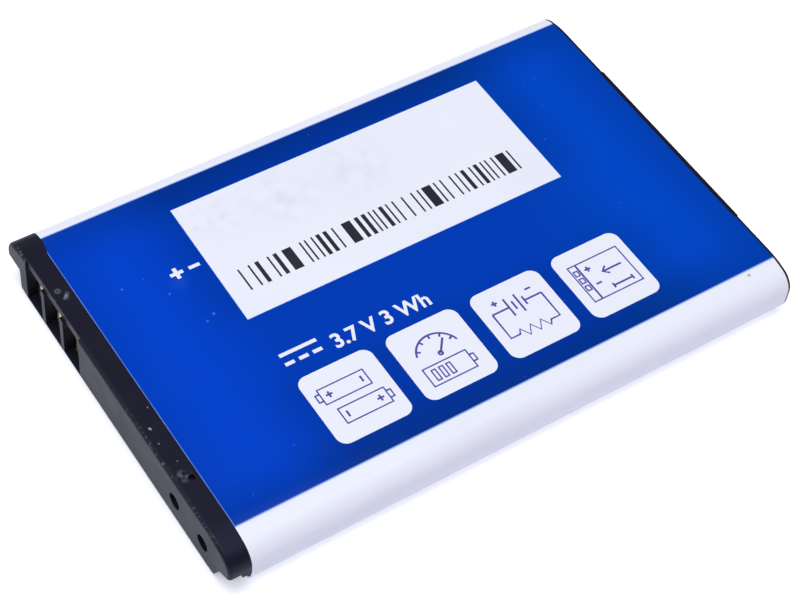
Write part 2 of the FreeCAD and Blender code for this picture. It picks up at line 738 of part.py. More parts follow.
def make_cell_can():
    """Deep-drawn can with a scored vent line in its bottom."""
    body = new_body("cell_can")
    outside = across_sketch(body, lid_face)
    draw_pack_outline(outside, cell_inset)
    pad(body, outside, f"{can_tail} - ({lid_face})")
    fillet_edges_at(body, can_tail, "sizes.can_bottom_radius")
    bore = across_sketch(body, lid_face)
    draw_pack_outline(bore, bore_inset)
    pocket(body, bore, f"{can_floor} - ({lid_face})", towards_normal=True)
    vent = across_sketch(body, can_tail)
    draw_box(vent, "-sizes.vent_length / 2", "sizes.vent_length / 2",
             f"{middle} - sizes.vent_width / 2", f"{middle} + sizes.vent_width / 2")
    pocket(body, vent, "sizes.vent_depth")
    return body


def make_cell_lid():
    body = new_body("cell_lid")
    outline = across_sketch(body, lid_face)
    draw_pack_outline(outline, f"{bore_inset} + sizes.lid_fit")
    draw_circle(outline, "0", middle, "sizes.terminal_hole_radius")
    draw_circle(outline, fill_hole_place, middle, "sizes.fill_hole_radius")
    pad(body, outline, "sizes.lid_thickness")
    return body


def make_round_piece(label, corners):
    """Piece turned about the terminal's axis, from its half section given as places along X and radii."""
    body = new_body(label)
    section = plan_sketch(body, middle)
    draw_polygon(section, corners)
    turned = body.newObject("PartDesign::Revolution", "revolution")
    turned.Profile = section
    turned.ReferenceAxis = (section, ["H_Axis"])
    turned.Angle = 360
    doc.recompute()
    return body


def make_lid_gasket():
    bore = "sizes.rivet_radius + sizes.round_fit"
    neck = "sizes.terminal_hole_radius - sizes.round_fit"
    return make_round_piece("lid_gasket", [
        (gasket_face, bore), (lid_back, bore), (lid_back, neck), (lid_face, neck),
        (lid_face, gasket_radius), (gasket_face, gasket_radius)])


def make_terminal_rivet():
    foot_end = f"{inner_terminal_back} + sizes.rivet_foot"
    return make_round_piece("terminal_rivet", [
        (strap_seat, "0"), (foot_end, "0"), (foot_end, "sizes.rivet_foot_radius"),
        (inner_terminal_back, "sizes.rivet_foot_radius"), (inner_terminal_back, "sizes.rivet_radius"),
        (gasket_face, "sizes.rivet_radius"), (gasket_face, rivet_head_radius),
        (strap_seat, rivet_head_radius)])


def make_fill_plug():
    body = new_body("fill_plug")
    head = across_sketch(body, f"{lid_face} - sizes.plug_head")
    draw_circle(head, fill_hole_place, middle, "sizes.plug_head_radius")
    pad(body, head, "sizes.plug_head")
    stem = across_sketch(body, lid_face)
    draw_circle(stem, fill_hole_place, middle, "sizes.fill_hole_radius - sizes.round_fit")
    pad(body, stem, "sizes.lid_thickness")
    return body


def make_inner_plate(label, x, thickness, kind, hole):
    """Plate under the lid with a hole for the rivet."""
    body = new_body(label)
    half = f"sizes.{kind}_length / 2"
    reach = f"({bore_half_height} - sizes.{kind}_side_gap)"
    outline = across_sketch(body, x)
    draw_box(outline, f"sizes.inner_plate_shift - {half}", f"sizes.inner_plate_shift + {half}",
             f"{middle} - {reach}", f"{middle} + {reach}")
    draw_circle(outline, "0", middle, hole)
    pad(body, outline, thickness)
    return body


def make_tab(label, centre, seat):
    """Strip from the end of the roll, bent flat under its seat."""
    body = new_body(label)
    thick = "sizes.tab_thickness"
    low = f"{middle} - sizes.tab_foot / 2"
    outline = side_sketch(body, centre)
    draw_polygon(outline, [(seat, low), (roll_head, low), (roll_head, f"{low} + {thick}"),
                           (f"{seat} + {thick}", f"{low} + {thick}"),
                           (f"{seat} + {thick}", f"{low} + sizes.tab_foot"),
                           (seat, f"{low} + sizes.tab_foot")])
    pad(body, outline, "sizes.tab_width", centred=True)
    return body


def make_roll_sheet(label, x, slots):
    """Insulating sheet at one end of the roll, with a slot for each tab that passes it."""
    body = new_body(label)
    outline = across_sketch(body, x)
    draw_pack_outline(outline, f"{bore_inset} + sizes.sheet_gap")
    low = f"{middle} - sizes.tab_foot / 2"
    for centre in slots:
        reach = "sizes.tab_width / 2 + sizes.tab_slot_gap"
        draw_box(outline, f"{centre} - ({reach})", f"{centre} + {reach}",
                 f"{low} - sizes.tab_slot_gap", f"{low} + sizes.tab_thickness + sizes.tab_slot_gap")
    pad(body, outline, "sizes.sheet_thickness")
    return body


def make_electrode_roll():
    """Flat-wound roll, pressed to the form of the can's bore."""
    body = new_body("electrode_roll")
    outline = across_sketch(body, roll_head)
    draw_pack_outline(outline, f"{bore_inset} + sizes.roll_gap")
    pad(body, outline, f"{roll_tail} - ({roll_head})")
    return body


pieces = [
    make_wrap_film(),
    make_label_sticker(),
    make_head_cap(),
    make_tail_cap(),
    flat_plate("tail_tape", can_tail, "sizes.tape_thickness", f"{near_side} + sizes.tape_side_margin",
               f"{far_side} - sizes.tape_side_margin", f"({top_face} - 2 * sizes.tape_face_margin)"),
    make_board(),
    make_chip("protection_chip", board_place(0), "sizes.chip_length", "sizes.chip_width",
              "sizes.chip_height"),
    make_chip("switch_transistor", board_place(1), "sizes.switch_length", "sizes.switch_width",
              "sizes.switch_height"),
    make_small_parts("resistors", 2, "resistor", resistor_count),
    make_small_parts("capacitors", 2 + resistor_count, "capacitor", capacitor_count),
    make_small_parts("thermistor", 2 + resistor_count + capacitor_count, "thermistor", 1),
    make_folded_strap("positive_lead", weld_plate_face, positive_fold,
                      f"{positive_fold} + sizes.positive_strap_foot", "+"),
    make_folded_strap("fuse_lead", strap_seat, fuse_fold, f"{fuse_end} - sizes.fuse_strap_lap", "-"),
    flat_plate("negative_lead", strap_front, "sizes.strap_thickness", f"-{rivet_head_radius}",
               "sizes.fuse_start + sizes.negative_strap_lap", "sizes.strap_width"),
    make_thermal_fuse(),
    flat_plate("lead_tape", f"{strap_front} - sizes.lead_tape_thickness",
               "sizes.lead_tape_thickness", f"-{rivet_head_radius} - sizes.lead_tape_overhang",
               f"{fuse_fold} - sizes.lead_tape_fold_gap",
               f"({chamber_high} - {chamber_low} - 2 * sizes.lead_tape_side_gap)"),
    make_lid_paper(),
    flat_plate("positive_weld_plate", weld_plate_face, "sizes.weld_plate_thickness", positive_fold,
               weld_plate_end, "sizes.weld_plate_width"),
    make_cell_can(),
    make_cell_lid(),
    make_lid_gasket(),
    make_terminal_rivet(),
    make_fill_plug(),
    make_inner_plate("inner_insulator", lid_back, "sizes.inner_insulator_thickness",
                     "inner_insulator", "sizes.rivet_radius + sizes.round_fit"),
    make_inner_plate("inner_terminal", inner_terminal_face, "sizes.inner_terminal_thickness",
                     "inner_terminal", "sizes.rivet_radius + sizes.round_fit"),
    make_tab("positive_tab", positive_tab_place, lid_back),
    make_tab("negative_tab", negative_tab_place, inner_terminal_back),
    make_roll_sheet("roll_head_insulator", f"{roll_head} - sizes.sheet_thickness",
                    [positive_tab_place, negative_tab_place]),
    make_roll_sheet("roll_tail_insulator", roll_tail, []),
    make_electrode_roll(),
]
for position, label in enumerate(contact_names):
    pieces.append(make_contact(label, position))

doc.recompute()
for item in doc.Objects:
    if "Invalid" in item.State or "Error" in item.State:
        raise ValueError(f"{item.Label} did not build: {item.State}")
for piece in pieces:
    if piece.Shape.isNull() or not piece.Shape.isValid():
        raise ValueError(f"{piece.Label} has no valid shape")

os.makedirs("parts", exist_ok=True)
for piece in pieces:
    piece.Shape.exportStep(f"parts/{piece.Label}.step")
    solids = len(piece.Shape.Solids)
    print(f"{piece.Label}: {solids} solid(s), {piece.Shape.Volume:.2f} cubic mm")
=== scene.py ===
import math
import random

import bmesh
import bpy
from mathutils import Matrix, Vector, noise


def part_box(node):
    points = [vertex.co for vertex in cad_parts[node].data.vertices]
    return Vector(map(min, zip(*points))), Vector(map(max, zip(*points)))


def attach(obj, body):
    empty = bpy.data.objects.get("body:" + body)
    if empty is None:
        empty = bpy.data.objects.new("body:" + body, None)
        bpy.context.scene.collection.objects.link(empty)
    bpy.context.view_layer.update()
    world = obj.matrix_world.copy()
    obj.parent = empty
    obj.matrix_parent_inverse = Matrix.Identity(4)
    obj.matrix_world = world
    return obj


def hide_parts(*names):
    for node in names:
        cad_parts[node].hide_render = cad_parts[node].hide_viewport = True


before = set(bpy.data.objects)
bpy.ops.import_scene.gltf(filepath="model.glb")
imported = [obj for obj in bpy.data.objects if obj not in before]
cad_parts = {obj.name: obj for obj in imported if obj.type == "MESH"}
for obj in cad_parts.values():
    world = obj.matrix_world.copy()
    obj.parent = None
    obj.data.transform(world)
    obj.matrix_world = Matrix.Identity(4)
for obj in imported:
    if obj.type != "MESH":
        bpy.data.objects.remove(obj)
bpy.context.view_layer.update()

# Rechargeable battery pack of a mobile phone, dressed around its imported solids.
# X runs from the contact end to the tail, Y towards the contacts' side, Z up through the printed face.

mm = 0.001
filmLow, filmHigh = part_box("wrap_film")
labelLow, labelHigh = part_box("label_sticker")
capLow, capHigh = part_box("head_cap")
printFace = filmHigh.z


# Shader helpers

def setInputs(tree, node, values):  # a socket is linked, a plain value is set
    for name, value in values.items():
        if isinstance(value, bpy.types.NodeSocket):
            tree.links.new(value, node.inputs[name])
        else:
            node.inputs[name].default_value = value


def addNode(tree, kind, inputs=None, **settings):
    node = tree.nodes.new("ShaderNode" + kind)
    for name, value in settings.items():
        setattr(node, name, value)
    setInputs(tree, node, inputs or {})
    return node


def doMaths(tree, operation, first, second=0.0):
    return addNode(tree, "Math", {0: first, 1: second}, operation=operation).outputs[0]


def product(tree, first, *others):
    for other in others:
        first = doMaths(tree, "MULTIPLY", first, other)
    return first


def total(tree, first, *others):
    for other in others:
        first = doMaths(tree, "ADD", first, other)
    return first


def difference(tree, first, second):
    return doMaths(tree, "SUBTRACT", first, second)


def clampShare(tree, value):  # 0..1 and no more
    return addNode(tree, "Clamp", {0: value}).outputs[0]


def rampBetween(tree, value, low, high):  # 0 below low, 1 above high, smooth between
    node = addNode(tree, "MapRange", {"Value": value, "From Min": low, "From Max": high},
                   interpolation_type="SMOOTHSTEP")
    return node.outputs["Result"]


def spread(tree, value, low, high):  # 0..1 becomes low..high
    return addNode(tree, "MapRange", {"Value": value, "To Min": low, "To Max": high}).outputs["Result"]


def mixColour(tree, mask, first, second):
    node = addNode(tree, "Mix", {0: mask, 6: first, 7: second}, data_type="RGBA")
    return node.outputs[2]


def objectPlace(tree):
    place = addNode(tree, "TexCoord").outputs["Object"]
    return place, addNode(tree, "SeparateXYZ", {0: place}).outputs


def newGroup(name, inputs, outputs):
    group = bpy.data.node_groups.new(name, "ShaderNodeTree")
    for label, kind, value in inputs:
        socket = group.interface.new_socket(label, in_out="INPUT", socket_type="NodeSocket" + kind)
        socket.default_value = value
    for label, kind in outputs:
        group.interface.new_socket(label, in_out="OUTPUT", socket_type="NodeSocket" + kind)
    return group, group.nodes.new("NodeGroupInput").outputs, group.nodes.new("NodeGroupOutput").inputs


def useGroup(tree, group, **values):
    node = tree.nodes.new("ShaderNodeGroup")
    node.node_tree = group
    setInputs(tree, node, values)
    return node.outputs


def spotMask(tree, place, radius):  # place and radius in millimetres
    return useGroup(tree, softSpot, Centre=Vector(place) * mm, Radius=radius)["Mask"]


def speckMask(tree, place, radius):  # a small spot whose soft half lies outside the radius
    return spotMask(tree, place, radius * 2)


def cloudValue(tree, scale, contrast):
    return useGroup(tree, cloudyPatches, Scale=scale, Contrast=contrast)["Value"]


def newMaterial(name, **values):
    material = bpy.data.materials.new(name)
    material.use_nodes = True
    tree = material.node_tree
    shader = tree.nodes["Principled BSDF"]
    feedShader(tree, shader, **values)
    return material, tree, shader


def feedShader(tree, shader, **values):
    setInputs(tree, shader, {label.replace("_", " "): value for label, value in values.items()})


# Shared effects

def addNoise(tree, place, scale, detail, roughness=0.5):
    return addNode(tree, "TexNoise", {"Vector": place, "Scale": scale, "Detail": detail,
                                      "Roughness": roughness}).outputs[0]


def buildGrainGroup():  # fine moulded or fibrous grain, as a normal and as a value
    group, given, result = newGroup(
        "fineGrain",
        [("Scale", "Float", 2000.0), ("Height", "Float", 0.01), ("Stretch", "Vector", (1, 1, 1))],
        [("Normal", "Vector"), ("Value", "Float")])
    place = addNode(group, "TexCoord").outputs["Object"]
    stretched = addNode(group, "VectorMath", {0: place, 1: given["Stretch"]}, operation="MULTIPLY")
    grain = addNoise(group, stretched.outputs[0], given["Scale"], 3.0)
    bump = addNode(group, "Bump", {"Height": grain, "Distance": product(group, given["Height"], mm)})
    group.links.new(bump.outputs[0], result["Normal"])
    group.links.new(grain, result["Value"])
    return group


def buildScratchGroup():  # thin hairlines that run one way, broken up by cloudy patches
    group, given, result = newGroup(
        "hairScratches",
        [("Scale", "Float", 300.0), ("Turn", "Vector", (0, 0, 0)), ("Amount", "Float", 0.5)],
        [("Mask", "Float")])
    place = addNode(group, "TexCoord").outputs["Object"]
    turned = addNode(group, "VectorRotate", {"Vector": place, "Rotation": given["Turn"]},
                     rotation_type="EULER_XYZ").outputs[0]
    drawnOut = addNode(group, "VectorMath", {0: turned, 1: (0.04, 1.0, 0.04)}, operation="MULTIPLY")
    lines = addNoise(group, drawnOut.outputs[0], given["Scale"], 4.0, roughness=0.7)
    sharp = rampBetween(group, lines, 0.66, 0.74)
    patches = addNoise(group, place, product(group, given["Scale"], 0.35), 2.0)
    limit = difference(group, 0.85, product(group, given["Amount"], 0.5))
    kept = doMaths(group, "GREATER_THAN", patches, limit)
    group.links.new(product(group, sharp, kept), result["Mask"])
    return group


def buildSpeckGroup():  # tiny round specks of dust, only in some cells of a random mesh
    group, given, result = newGroup(
        "dustSpecks",
        [("Scale", "Float", 800.0), ("Size", "Float", 0.15), ("Amount", "Float", 0.1)],
        [("Mask", "Float")])
    place = addNode(group, "TexCoord").outputs["Object"]
    cells = addNode(group, "TexVoronoi", {"Vector": place, "Scale": given["Scale"]})
    share = addNode(group, "SeparateXYZ", {0: cells.outputs["Color"]}).outputs
    size = product(group, given["Size"], share["Y"])
    near = doMaths(group, "LESS_THAN", cells.outputs["Distance"], size)
    chosen = doMaths(group, "LESS_THAN", share["X"], given["Amount"])
    group.links.new(product(group, near, chosen), result["Mask"])
    return group


def buildSpotGroup():  # soft round spot about a point
    group, given, result = newGroup(
        "softSpot",
        [("Centre", "Vector", (0, 0, 0)), ("Radius", "Float", 1.0)],
        [("Mask", "Float")])
    place = addNode(group, "TexCoord").outputs["Object"]
    away = addNode(group, "VectorMath", {0: place, 1: given["Centre"]}, operation="DISTANCE")
    share = doMaths(group, "DIVIDE", away.outputs["Value"], product(group, given["Radius"], mm))
    group.links.new(rampBetween(group, difference(group, 1.0, share), 0.0, 1.0), result["Mask"])
    return group


def buildCloudGroup():  # broad uneven patches, for colour and gloss that vary
    group, given, result = newGroup(
        "cloudyPatches", [("Scale", "Float", 150.0), ("Contrast", "Float", 1.0)], [("Value", "Float")])
    place = addNode(group, "TexCoord").outputs["Object"]
    cloud = addNoise(group, place, given["Scale"], 3.0)
    centred = product(group, difference(group, cloud, 0.5), given["Contrast"])
    group.links.new(total(group, centred, 0.5), result["Value"])
    return group


fineGrain = buildGrainGroup()
hairScratches = buildScratchGroup()
dustSpecks = buildSpeckGroup()
softSpot = buildSpotGroup()
cloudyPatches = buildCloudGroup()
print("shared effects built")


# Outer materials

filmLook = {
    "blue": (0.0, 0.052, 0.495, 1),
    "tailSheenBlue": (0.0, 0.062, 0.50, 1),   # painted reflection: the blue is a touch greener and lighter beyond the label
    "tailSheenSpan": (8.0, 16.0),
    # painted shade: the blue is mixed towards this near black along its edges and round the tiles and the
    # label
    "shadedBlue": (0.0, 0.010, 0.02, 1),
    "white": (0.82, 0.82, 0.825, 1),
    "grime": (0.62, 0.62, 0.64, 1),
    "cutEdge": (0.16, 0.30, 0.66, 1),
    "scuff": (0.07, 0.19, 0.64, 1),
    "nearPrintEdge": -14.55,  # the blue field's long edges
    "farPrintEdge": 15.34,
    "edgeBlur": 0.1,
    "edgeTint": (0.20, 0.42, 0.95, 1),
    "edgeTintShare": 2.4,
    "cutEdgeWidth": 0.085,
    "cutEdgeShare": (0.55, 1.0),
    "cutEdgePatches": (700.0, 2.0),
    "tailRim": (0.012, 0.013, 0.016, 1),
    "tailRimWidth": 0.18,     # the tail plate's black rim shows through the film's trimmed end
    "sideFade": (-0.69, 4.6),  # painted shade along the field's edge, gone from the second distance in
    "headFade": (-4.14, 3.68),
    "tailFade": (-2.3, 6.9),
    "edgeShade": 0.66,          # what is left of the blue under the painted shade at the edges
    "panelShade": 0.63,         # and round the tiles and the label
    "panelStart": (-19.0, -12.0),
    "panelEnd": (22.0, 13.0),
    "panelGap": -2.4,         # middle of the lighter band between tiles and label
    "panelGapReach": (1.5, 5.5),
    "panelGapShade": 0.55,
    "inkCloud": (0.93, 1.05),
    "inkPatches": (110.0, 0.5),  # scale and contrast of the patches
    "rubPlace": (-16.4, 6.2, 4.75),
    "rubRadius": 1.1,
    "rubShare": 0.08,
    "fibreShare": 0.6,        # fine lines inside the rubbed place
    "hairShare": 0.16,
    "dustShare": 0.6,
    "spots": ((-20.52, 7.78, 0.075), (-17.63, 5.64, 0.075), (-15.69, 2.37, 0.1), (-16.43, 2.0, 0.08)),
    "spotShare": 0.9,
    "darkSpot": (22.49, -14.98, 4.72),
    "darkSpotRadius": 0.12,
    "darkSpotColour": (0.16, 0.16, 0.18, 1),
    "streakShare": 0.22,
    "streakSpan": (0.45, 0.8),
    "seamPlace": 4.5,         # lap of the film's two edges, along the underside
    "seamWidth": 0.06,
    "seamShare": 0.7,
    "seamHeight": 0.8,        # against the waves
    "waveScale": 130.0,
    "waveDepth": 0.03,
    "gloss": (0.17, 0.26),
    "glossPatches": (260.0, 1.2),
}


def makeShadedBlue(tree, axes):  # blue with painted shade along its edges and round the white panels
    look = filmLook
    nearEdge, farEdge = look["nearPrintEdge"] * mm, look["farPrintEdge"] * mm
    fades = []
    for axis, edge, inward, span in (("Y", nearEdge, 1, "sideFade"), ("Y", farEdge, -1, "sideFade"),
                                     ("X", filmLow.x, 1, "headFade"), ("X", filmHigh.x, -1, "tailFade")):
        outer, inner = (edge + inward * reach * mm for reach in look[span])
        fades.append(rampBetween(tree, axes[axis], outer, inner))
    # painted shade towards the field's edges
    edgeShare = spread(tree, product(tree, *fades), look["edgeShade"], 1.0)

    afterHead, beforeTail, beyondLabel = (
        rampBetween(tree, axes["X"], *(place * mm for place in look[span]))
        for span in ("panelStart", "panelEnd", "tailSheenSpan"))
    fromGap = doMaths(tree, "ABSOLUTE", difference(tree, axes["Y"], look["panelGap"] * mm))
    outOfGap = rampBetween(tree, fromGap, *(place * mm for place in look["panelGapReach"]))
    outOfGap = spread(tree, outOfGap, look["panelGapShade"], 1.0)
    # painted shade round the tiles and the label, lighter in the band between them
    panel = product(tree, afterHead, beforeTail, outOfGap)
    panelShare = spread(tree, panel, 1.0, look["panelShade"])

    cloud = spread(tree, cloudValue(tree, *look["inkPatches"]), *look["inkCloud"])
    # painted reflection: a greener, lighter blue beyond the label
    blue = mixColour(tree, beyondLabel, look["blue"], look["tailSheenBlue"])
    return mixColour(tree, product(tree, edgeShare, panelShare, cloud), look["shadedBlue"], blue)


def addInkMarks(tree, blue):  # dust, fine hairlines, a rubbed place and a few larger spots
    look = filmLook
    fibres = useGroup(tree, hairScratches, Scale=1500.0, Turn=(0, 0, -0.9), Amount=1.0)["Mask"]
    dust = useGroup(tree, dustSpecks, Scale=1500.0, Size=0.115, Amount=0.1)["Mask"]
    hairs = useGroup(tree, hairScratches, Scale=800.0, Turn=(0, 0, 0.5), Amount=0.6)["Mask"]
    rubbed = spotMask(tree, look["rubPlace"], look["rubRadius"])
    rubbed = product(tree, rubbed, total(tree, look["rubShare"], product(tree, fibres, look["fibreShare"])))
    hairs, dust = product(tree, hairs, look["hairShare"]), product(tree, dust, look["dustShare"])
    marks = total(tree, hairs, dust, rubbed)
    for x, y, radius in look["spots"]:
        spot = speckMask(tree, (x, y, printFace / mm), radius)
        marks = total(tree, marks, product(tree, spot, look["spotShare"]))
    return mixColour(tree, clampShare(tree, marks), blue, look["scuff"])


def makeFilmMaterial():
    look = filmLook
    material, tree, shader = newMaterial("printedFilm", IOR=1.4, Specular_IOR_Level=0.15)
    place, axes = objectPlace(tree)
    nearEdge, farEdge, blur = (look[name] * mm for name in ("nearPrintEdge", "farPrintEdge", "edgeBlur"))
    pastNear = rampBetween(tree, axes["Y"], nearEdge - blur, nearEdge + blur)
    beforeFar = rampBetween(tree, axes["Y"], farEdge + blur, farEdge - blur)
    upperHalf = doMaths(tree, "GREATER_THAN", axes["Z"], printFace / 2)
    field = product(tree, pastNear, beforeFar, upperHalf)
    blue = addInkMarks(tree, makeShadedBlue(tree, axes))

    streaks = useGroup(tree, fineGrain, Scale=420.0, Height=0.0, Stretch=(0.12, 1, 1))["Value"]
    streaks = product(tree, rampBetween(tree, streaks, *look["streakSpan"]), look["streakShare"])
    seam, seamWidth = look["seamPlace"] * mm, look["seamWidth"] * mm
    fromSeam = doMaths(tree, "ABSOLUTE", difference(tree, axes["Y"], seam))
    underside = doMaths(tree, "LESS_THAN", axes["Z"], printFace / 4)
    onSeam = product(tree, rampBetween(tree, fromSeam, seamWidth, seamWidth / 3), underside)
    dirt = clampShare(tree, total(tree, streaks, product(tree, onSeam, look["seamShare"])))
    white = mixColour(tree, dirt, look["white"], look["grime"])
    dark = speckMask(tree, look["darkSpot"], look["darkSpotRadius"])
    white = mixColour(tree, dark, white, look["darkSpotColour"])

    colour = mixColour(tree, field, white, blue)
    fringe = product(tree, field, difference(tree, 1.0, field), look["edgeTintShare"])
    colour = mixColour(tree, fringe, colour, look["edgeTint"])
    cut, rim = look["cutEdgeWidth"] * mm, look["tailRimWidth"] * mm
    headLine = rampBetween(tree, axes["X"], filmLow.x + cut, filmLow.x + cut / 3)
    patchy = spread(tree, cloudValue(tree, *look["cutEdgePatches"]), *look["cutEdgeShare"])
    colour = mixColour(tree, product(tree, field, headLine, patchy), colour, look["cutEdge"])
    tailLine = rampBetween(tree, axes["X"], filmHigh.x - rim, filmHigh.x - rim / 2)
    colour = mixColour(tree, tailLine, colour, look["tailRim"])

    waves = addNoise(tree, place, look["waveScale"], 1.0)
    lap = product(tree, rampBetween(tree, axes["Y"], seam, seam + seamWidth), underside, look["seamHeight"])
    bump = addNode(tree, "Bump", {"Height": total(tree, waves, lap), "Distance": look["waveDepth"] * mm})
    feedShader(tree, shader, Base_Color=colour, Normal=bump.outputs[0],
               Roughness=spread(tree, cloudValue(tree, *look["glossPatches"]), *look["gloss"]))
    return material


labelLook = {
    "paper": (0.82, 0.825, 0.825, 1),
    "shade": (0.785, 0.795, 0.80, 1),
    "ink": (0.016, 0.015, 0.022, 1),
    "thinInk": (0.026, 0.025, 0.034, 1),
    "edge": (0.46, 0.60, 0.92, 1),       # painted shade and reflection: the cut edge in shade, tinted by the blue beside it
    "shadedEdgeWidth": 0.07,
    "greyPatch": (0.735, 0.73, 0.74, 1),
    "greyPatches": (((-11.3, 10.2, 4.8), 4.0), ((-5.3, 9.9, 4.8), 4.6), ((1.4, 9.6, 4.8), 4.2)),
    "shadePatches": (140.0, 1.6),
    "greyPatchCloud": (900.0, 2.6),
    "greyPatchSpan": (0.1, 1.0),
    "gloss": (0.42, 0.6),
}


def makeLabelMaterial():
    look = labelLook
    material, tree, shader = newMaterial("labelPaper", Specular_IOR_Level=0.35)
    axes = objectPlace(tree)[1]
    fibre = useGroup(tree, fineGrain, Scale=2600.0, Height=0.004)
    colour = mixColour(tree, cloudValue(tree, *look["shadePatches"]), look["paper"], look["shade"])
    # soft grey patches in three places on the label, broken up by fine noise
    worn = rampBetween(tree, cloudValue(tree, *look["greyPatchCloud"]), *look["greyPatchSpan"])
    for middle, radius in look["greyPatches"]:
        greyPatch = product(tree, spotMask(tree, middle, radius), worn)
        colour = mixColour(tree, greyPatch, colour, look["greyPatch"])

    fromNear = difference(tree, axes["Y"], labelLow.y)
    across = doMaths(tree, "DIVIDE", fromNear, labelHigh.y - labelLow.y)
    squared = difference(tree, axes["X"], product(tree, across, labelShape["skew"] * mm))
    # painted shade and reflection in a strip along the label's outline
    for value, edge, inward in ((squared, labelLow.x, 1), (axes["X"], labelHigh.x, -1),
                                (axes["Y"], labelLow.y, 1), (axes["Y"], labelHigh.y, -1)):
        rim = rampBetween(tree, value, edge + inward * look["shadedEdgeWidth"] * mm, edge)
        colour = mixColour(tree, rim, colour, look["edge"])
    feedShader(tree, shader, Base_Color=colour, Normal=fibre["Normal"],
               Roughness=spread(tree, fibre["Value"], *look["gloss"]))
    return material


inkLook = {
    "patches": (180.0, 1.4),
    "gloss": (0.3, 0.5),
}


def makeInkMaterial(name, colour, thin):
    look = inkLook
    material, tree, shader = newMaterial(name, Specular_IOR_Level=0.3)
    grain = useGroup(tree, fineGrain, Scale=4000.0, Height=0.003)
    printed = mixColour(tree, cloudValue(tree, *look["patches"]), colour, thin)
    feedShader(tree, shader, Base_Color=printed, Normal=grain["Normal"],
               Roughness=spread(tree, grain["Value"], *look["gloss"]))
    return material


capLook = {
    "black": (0.0068, 0.0067, 0.0126, 1),
    "worn": (0.013, 0.013, 0.0205, 1),
    "chip": (0.30, 0.30, 0.31, 1),
    "tint": (0.61, 0.6, 1.0, 1),
    "rim": (0.36, 0.12),      # the front's upper edge carries chips and a painted highlight from here to here
    "smudgePlace": (-24.75, -9.1, 4.75),
    "smudgeRadius": 0.75,
    "scratchPlace": (-24.46, 9.31, 4.75),
    "scratchRadius": 0.55,
    "specks": ((-24.86, -4.36, 4.75, 0.075), (-24.82, -4.46, 4.75, 0.07), (-24.92, -5.84, 4.75, 0.045),
               (-24.5, -7.79, 4.75, 0.04), (-24.09, -2.68, 4.75, 0.045), (-25.4, -13.4, 4.42, 0.08),
               (-25.5, -15.4, 3.7, 0.1)),
    "pinSpot": (-24.775, 10.0, 4.75),
    "pinSpotRadius": 0.2,
    "shares": {"chips": 0.35, "dust": 0.2, "rubbed": 0.05, "pinSpot": 0.14, "scraped": 0.6, "dull": 0.4},
    "chipPatches": (260.0, 1.6),
    "chipStretches": (0.4, 0.7),   # chips show where the patches pass these values
    "flecks": (4200.0, 3.0),  # scale and detail of the fine noise
    "scrapes": (1500.0, 4.0),      # and of the coarse one
    "chipSpan": (0.56, 0.66),      # values of the noise where a mark starts and where it is full
    "scrapedSpan": (0.5, 0.62),
    "dullSpan": (0.42, 0.62),
    "edgeHighlightStrength": (0.3, 1.0),
    "cloudPatches": (400.0, 1.4),
    "cloudShare": 0.4,
    "gloss": (0.42, 0.54),
    "wornGloss": 0.3,         # how much duller a mark is
}


def capMarks(tree, place, axes):  # chips and a painted highlight along the front's upper edge, dust, scratches and smudges
    look = capLook
    outer, inner = (reach * mm for reach in look["rim"])
    fromFace = rampBetween(tree, axes["X"], capLow.x + outer, capLow.x + inner)
    fromTop = rampBetween(tree, axes["Z"], capHigh.z - outer, capHigh.z - inner)
    rim = product(tree, fromFace, fromTop)
    stretches = rampBetween(tree, cloudValue(tree, *look["chipPatches"]), *look["chipStretches"])
    scrapes = addNoise(tree, place, *look["scrapes"])
    flecks = addNoise(tree, place, *look["flecks"])
    hairs = useGroup(tree, hairScratches, Scale=1700.0, Turn=(0, 0, 1.2), Amount=1.0)["Mask"]
    smudge = spotMask(tree, look["smudgePlace"], look["smudgeRadius"])
    scratch = spotMask(tree, look["scratchPlace"], look["scratchRadius"])
    scraped = total(tree, hairs, rampBetween(tree, scrapes, *look["scrapedSpan"]))
    kinds = {
        "chips": product(tree, rim, stretches, rampBetween(tree, flecks, *look["chipSpan"])),
        "dust": useGroup(tree, dustSpecks, Scale=2600.0, Size=0.11, Amount=0.03)["Mask"],
        # painted highlight, partly rubbed wear: a faint lighter band all along the front's upper edge
        "rubbed": product(tree, rim, spread(tree, flecks, *look["edgeHighlightStrength"])),
        "pinSpot": speckMask(tree, look["pinSpot"], look["pinSpotRadius"]),
        "scraped": product(tree, scratch, scraped),
        "dull": product(tree, smudge, rampBetween(tree, scrapes, *look["dullSpan"])),
    }
    marks = total(tree, *(product(tree, mask, look["shares"][kind]) for kind, mask in kinds.items()))
    specks = (speckMask(tree, spot, radius) for *spot, radius in look["specks"])
    return total(tree, marks, *specks)


def makeCapMaterial(name, wornShare):
    look = capLook
    material, tree, shader = newMaterial(name, IOR=1.45, Specular_IOR_Level=0.24,
                                         Specular_Tint=look["tint"])
    place, axes = objectPlace(tree)
    cloud = cloudValue(tree, *look["cloudPatches"])
    grain = useGroup(tree, fineGrain, Scale=5200.0, Height=0.012)
    colour = mixColour(tree, product(tree, cloud, look["cloudShare"]), look["black"], look["worn"])
    marks = clampShare(tree, total(tree, capMarks(tree, place, axes), wornShare))
    rough = total(tree, spread(tree, cloud, *look["gloss"]), product(tree, marks, look["wornGloss"]))
    feedShader(tree, shader, Base_Color=mixColour(tree, marks, colour, look["chip"]), Roughness=rough,
               Normal=grain["Normal"])
    return material


goldLook = {
    "gold": (0.86, 0.64, 0.36, 1),
    "dull": (0.30, 0.20, 0.12, 1),
    "dullPatches": (900.0, 1.6),
    "dullShare": 0.6,
    "wipedShare": 0.5,
    "gloss": (0.12, 0.32),
}


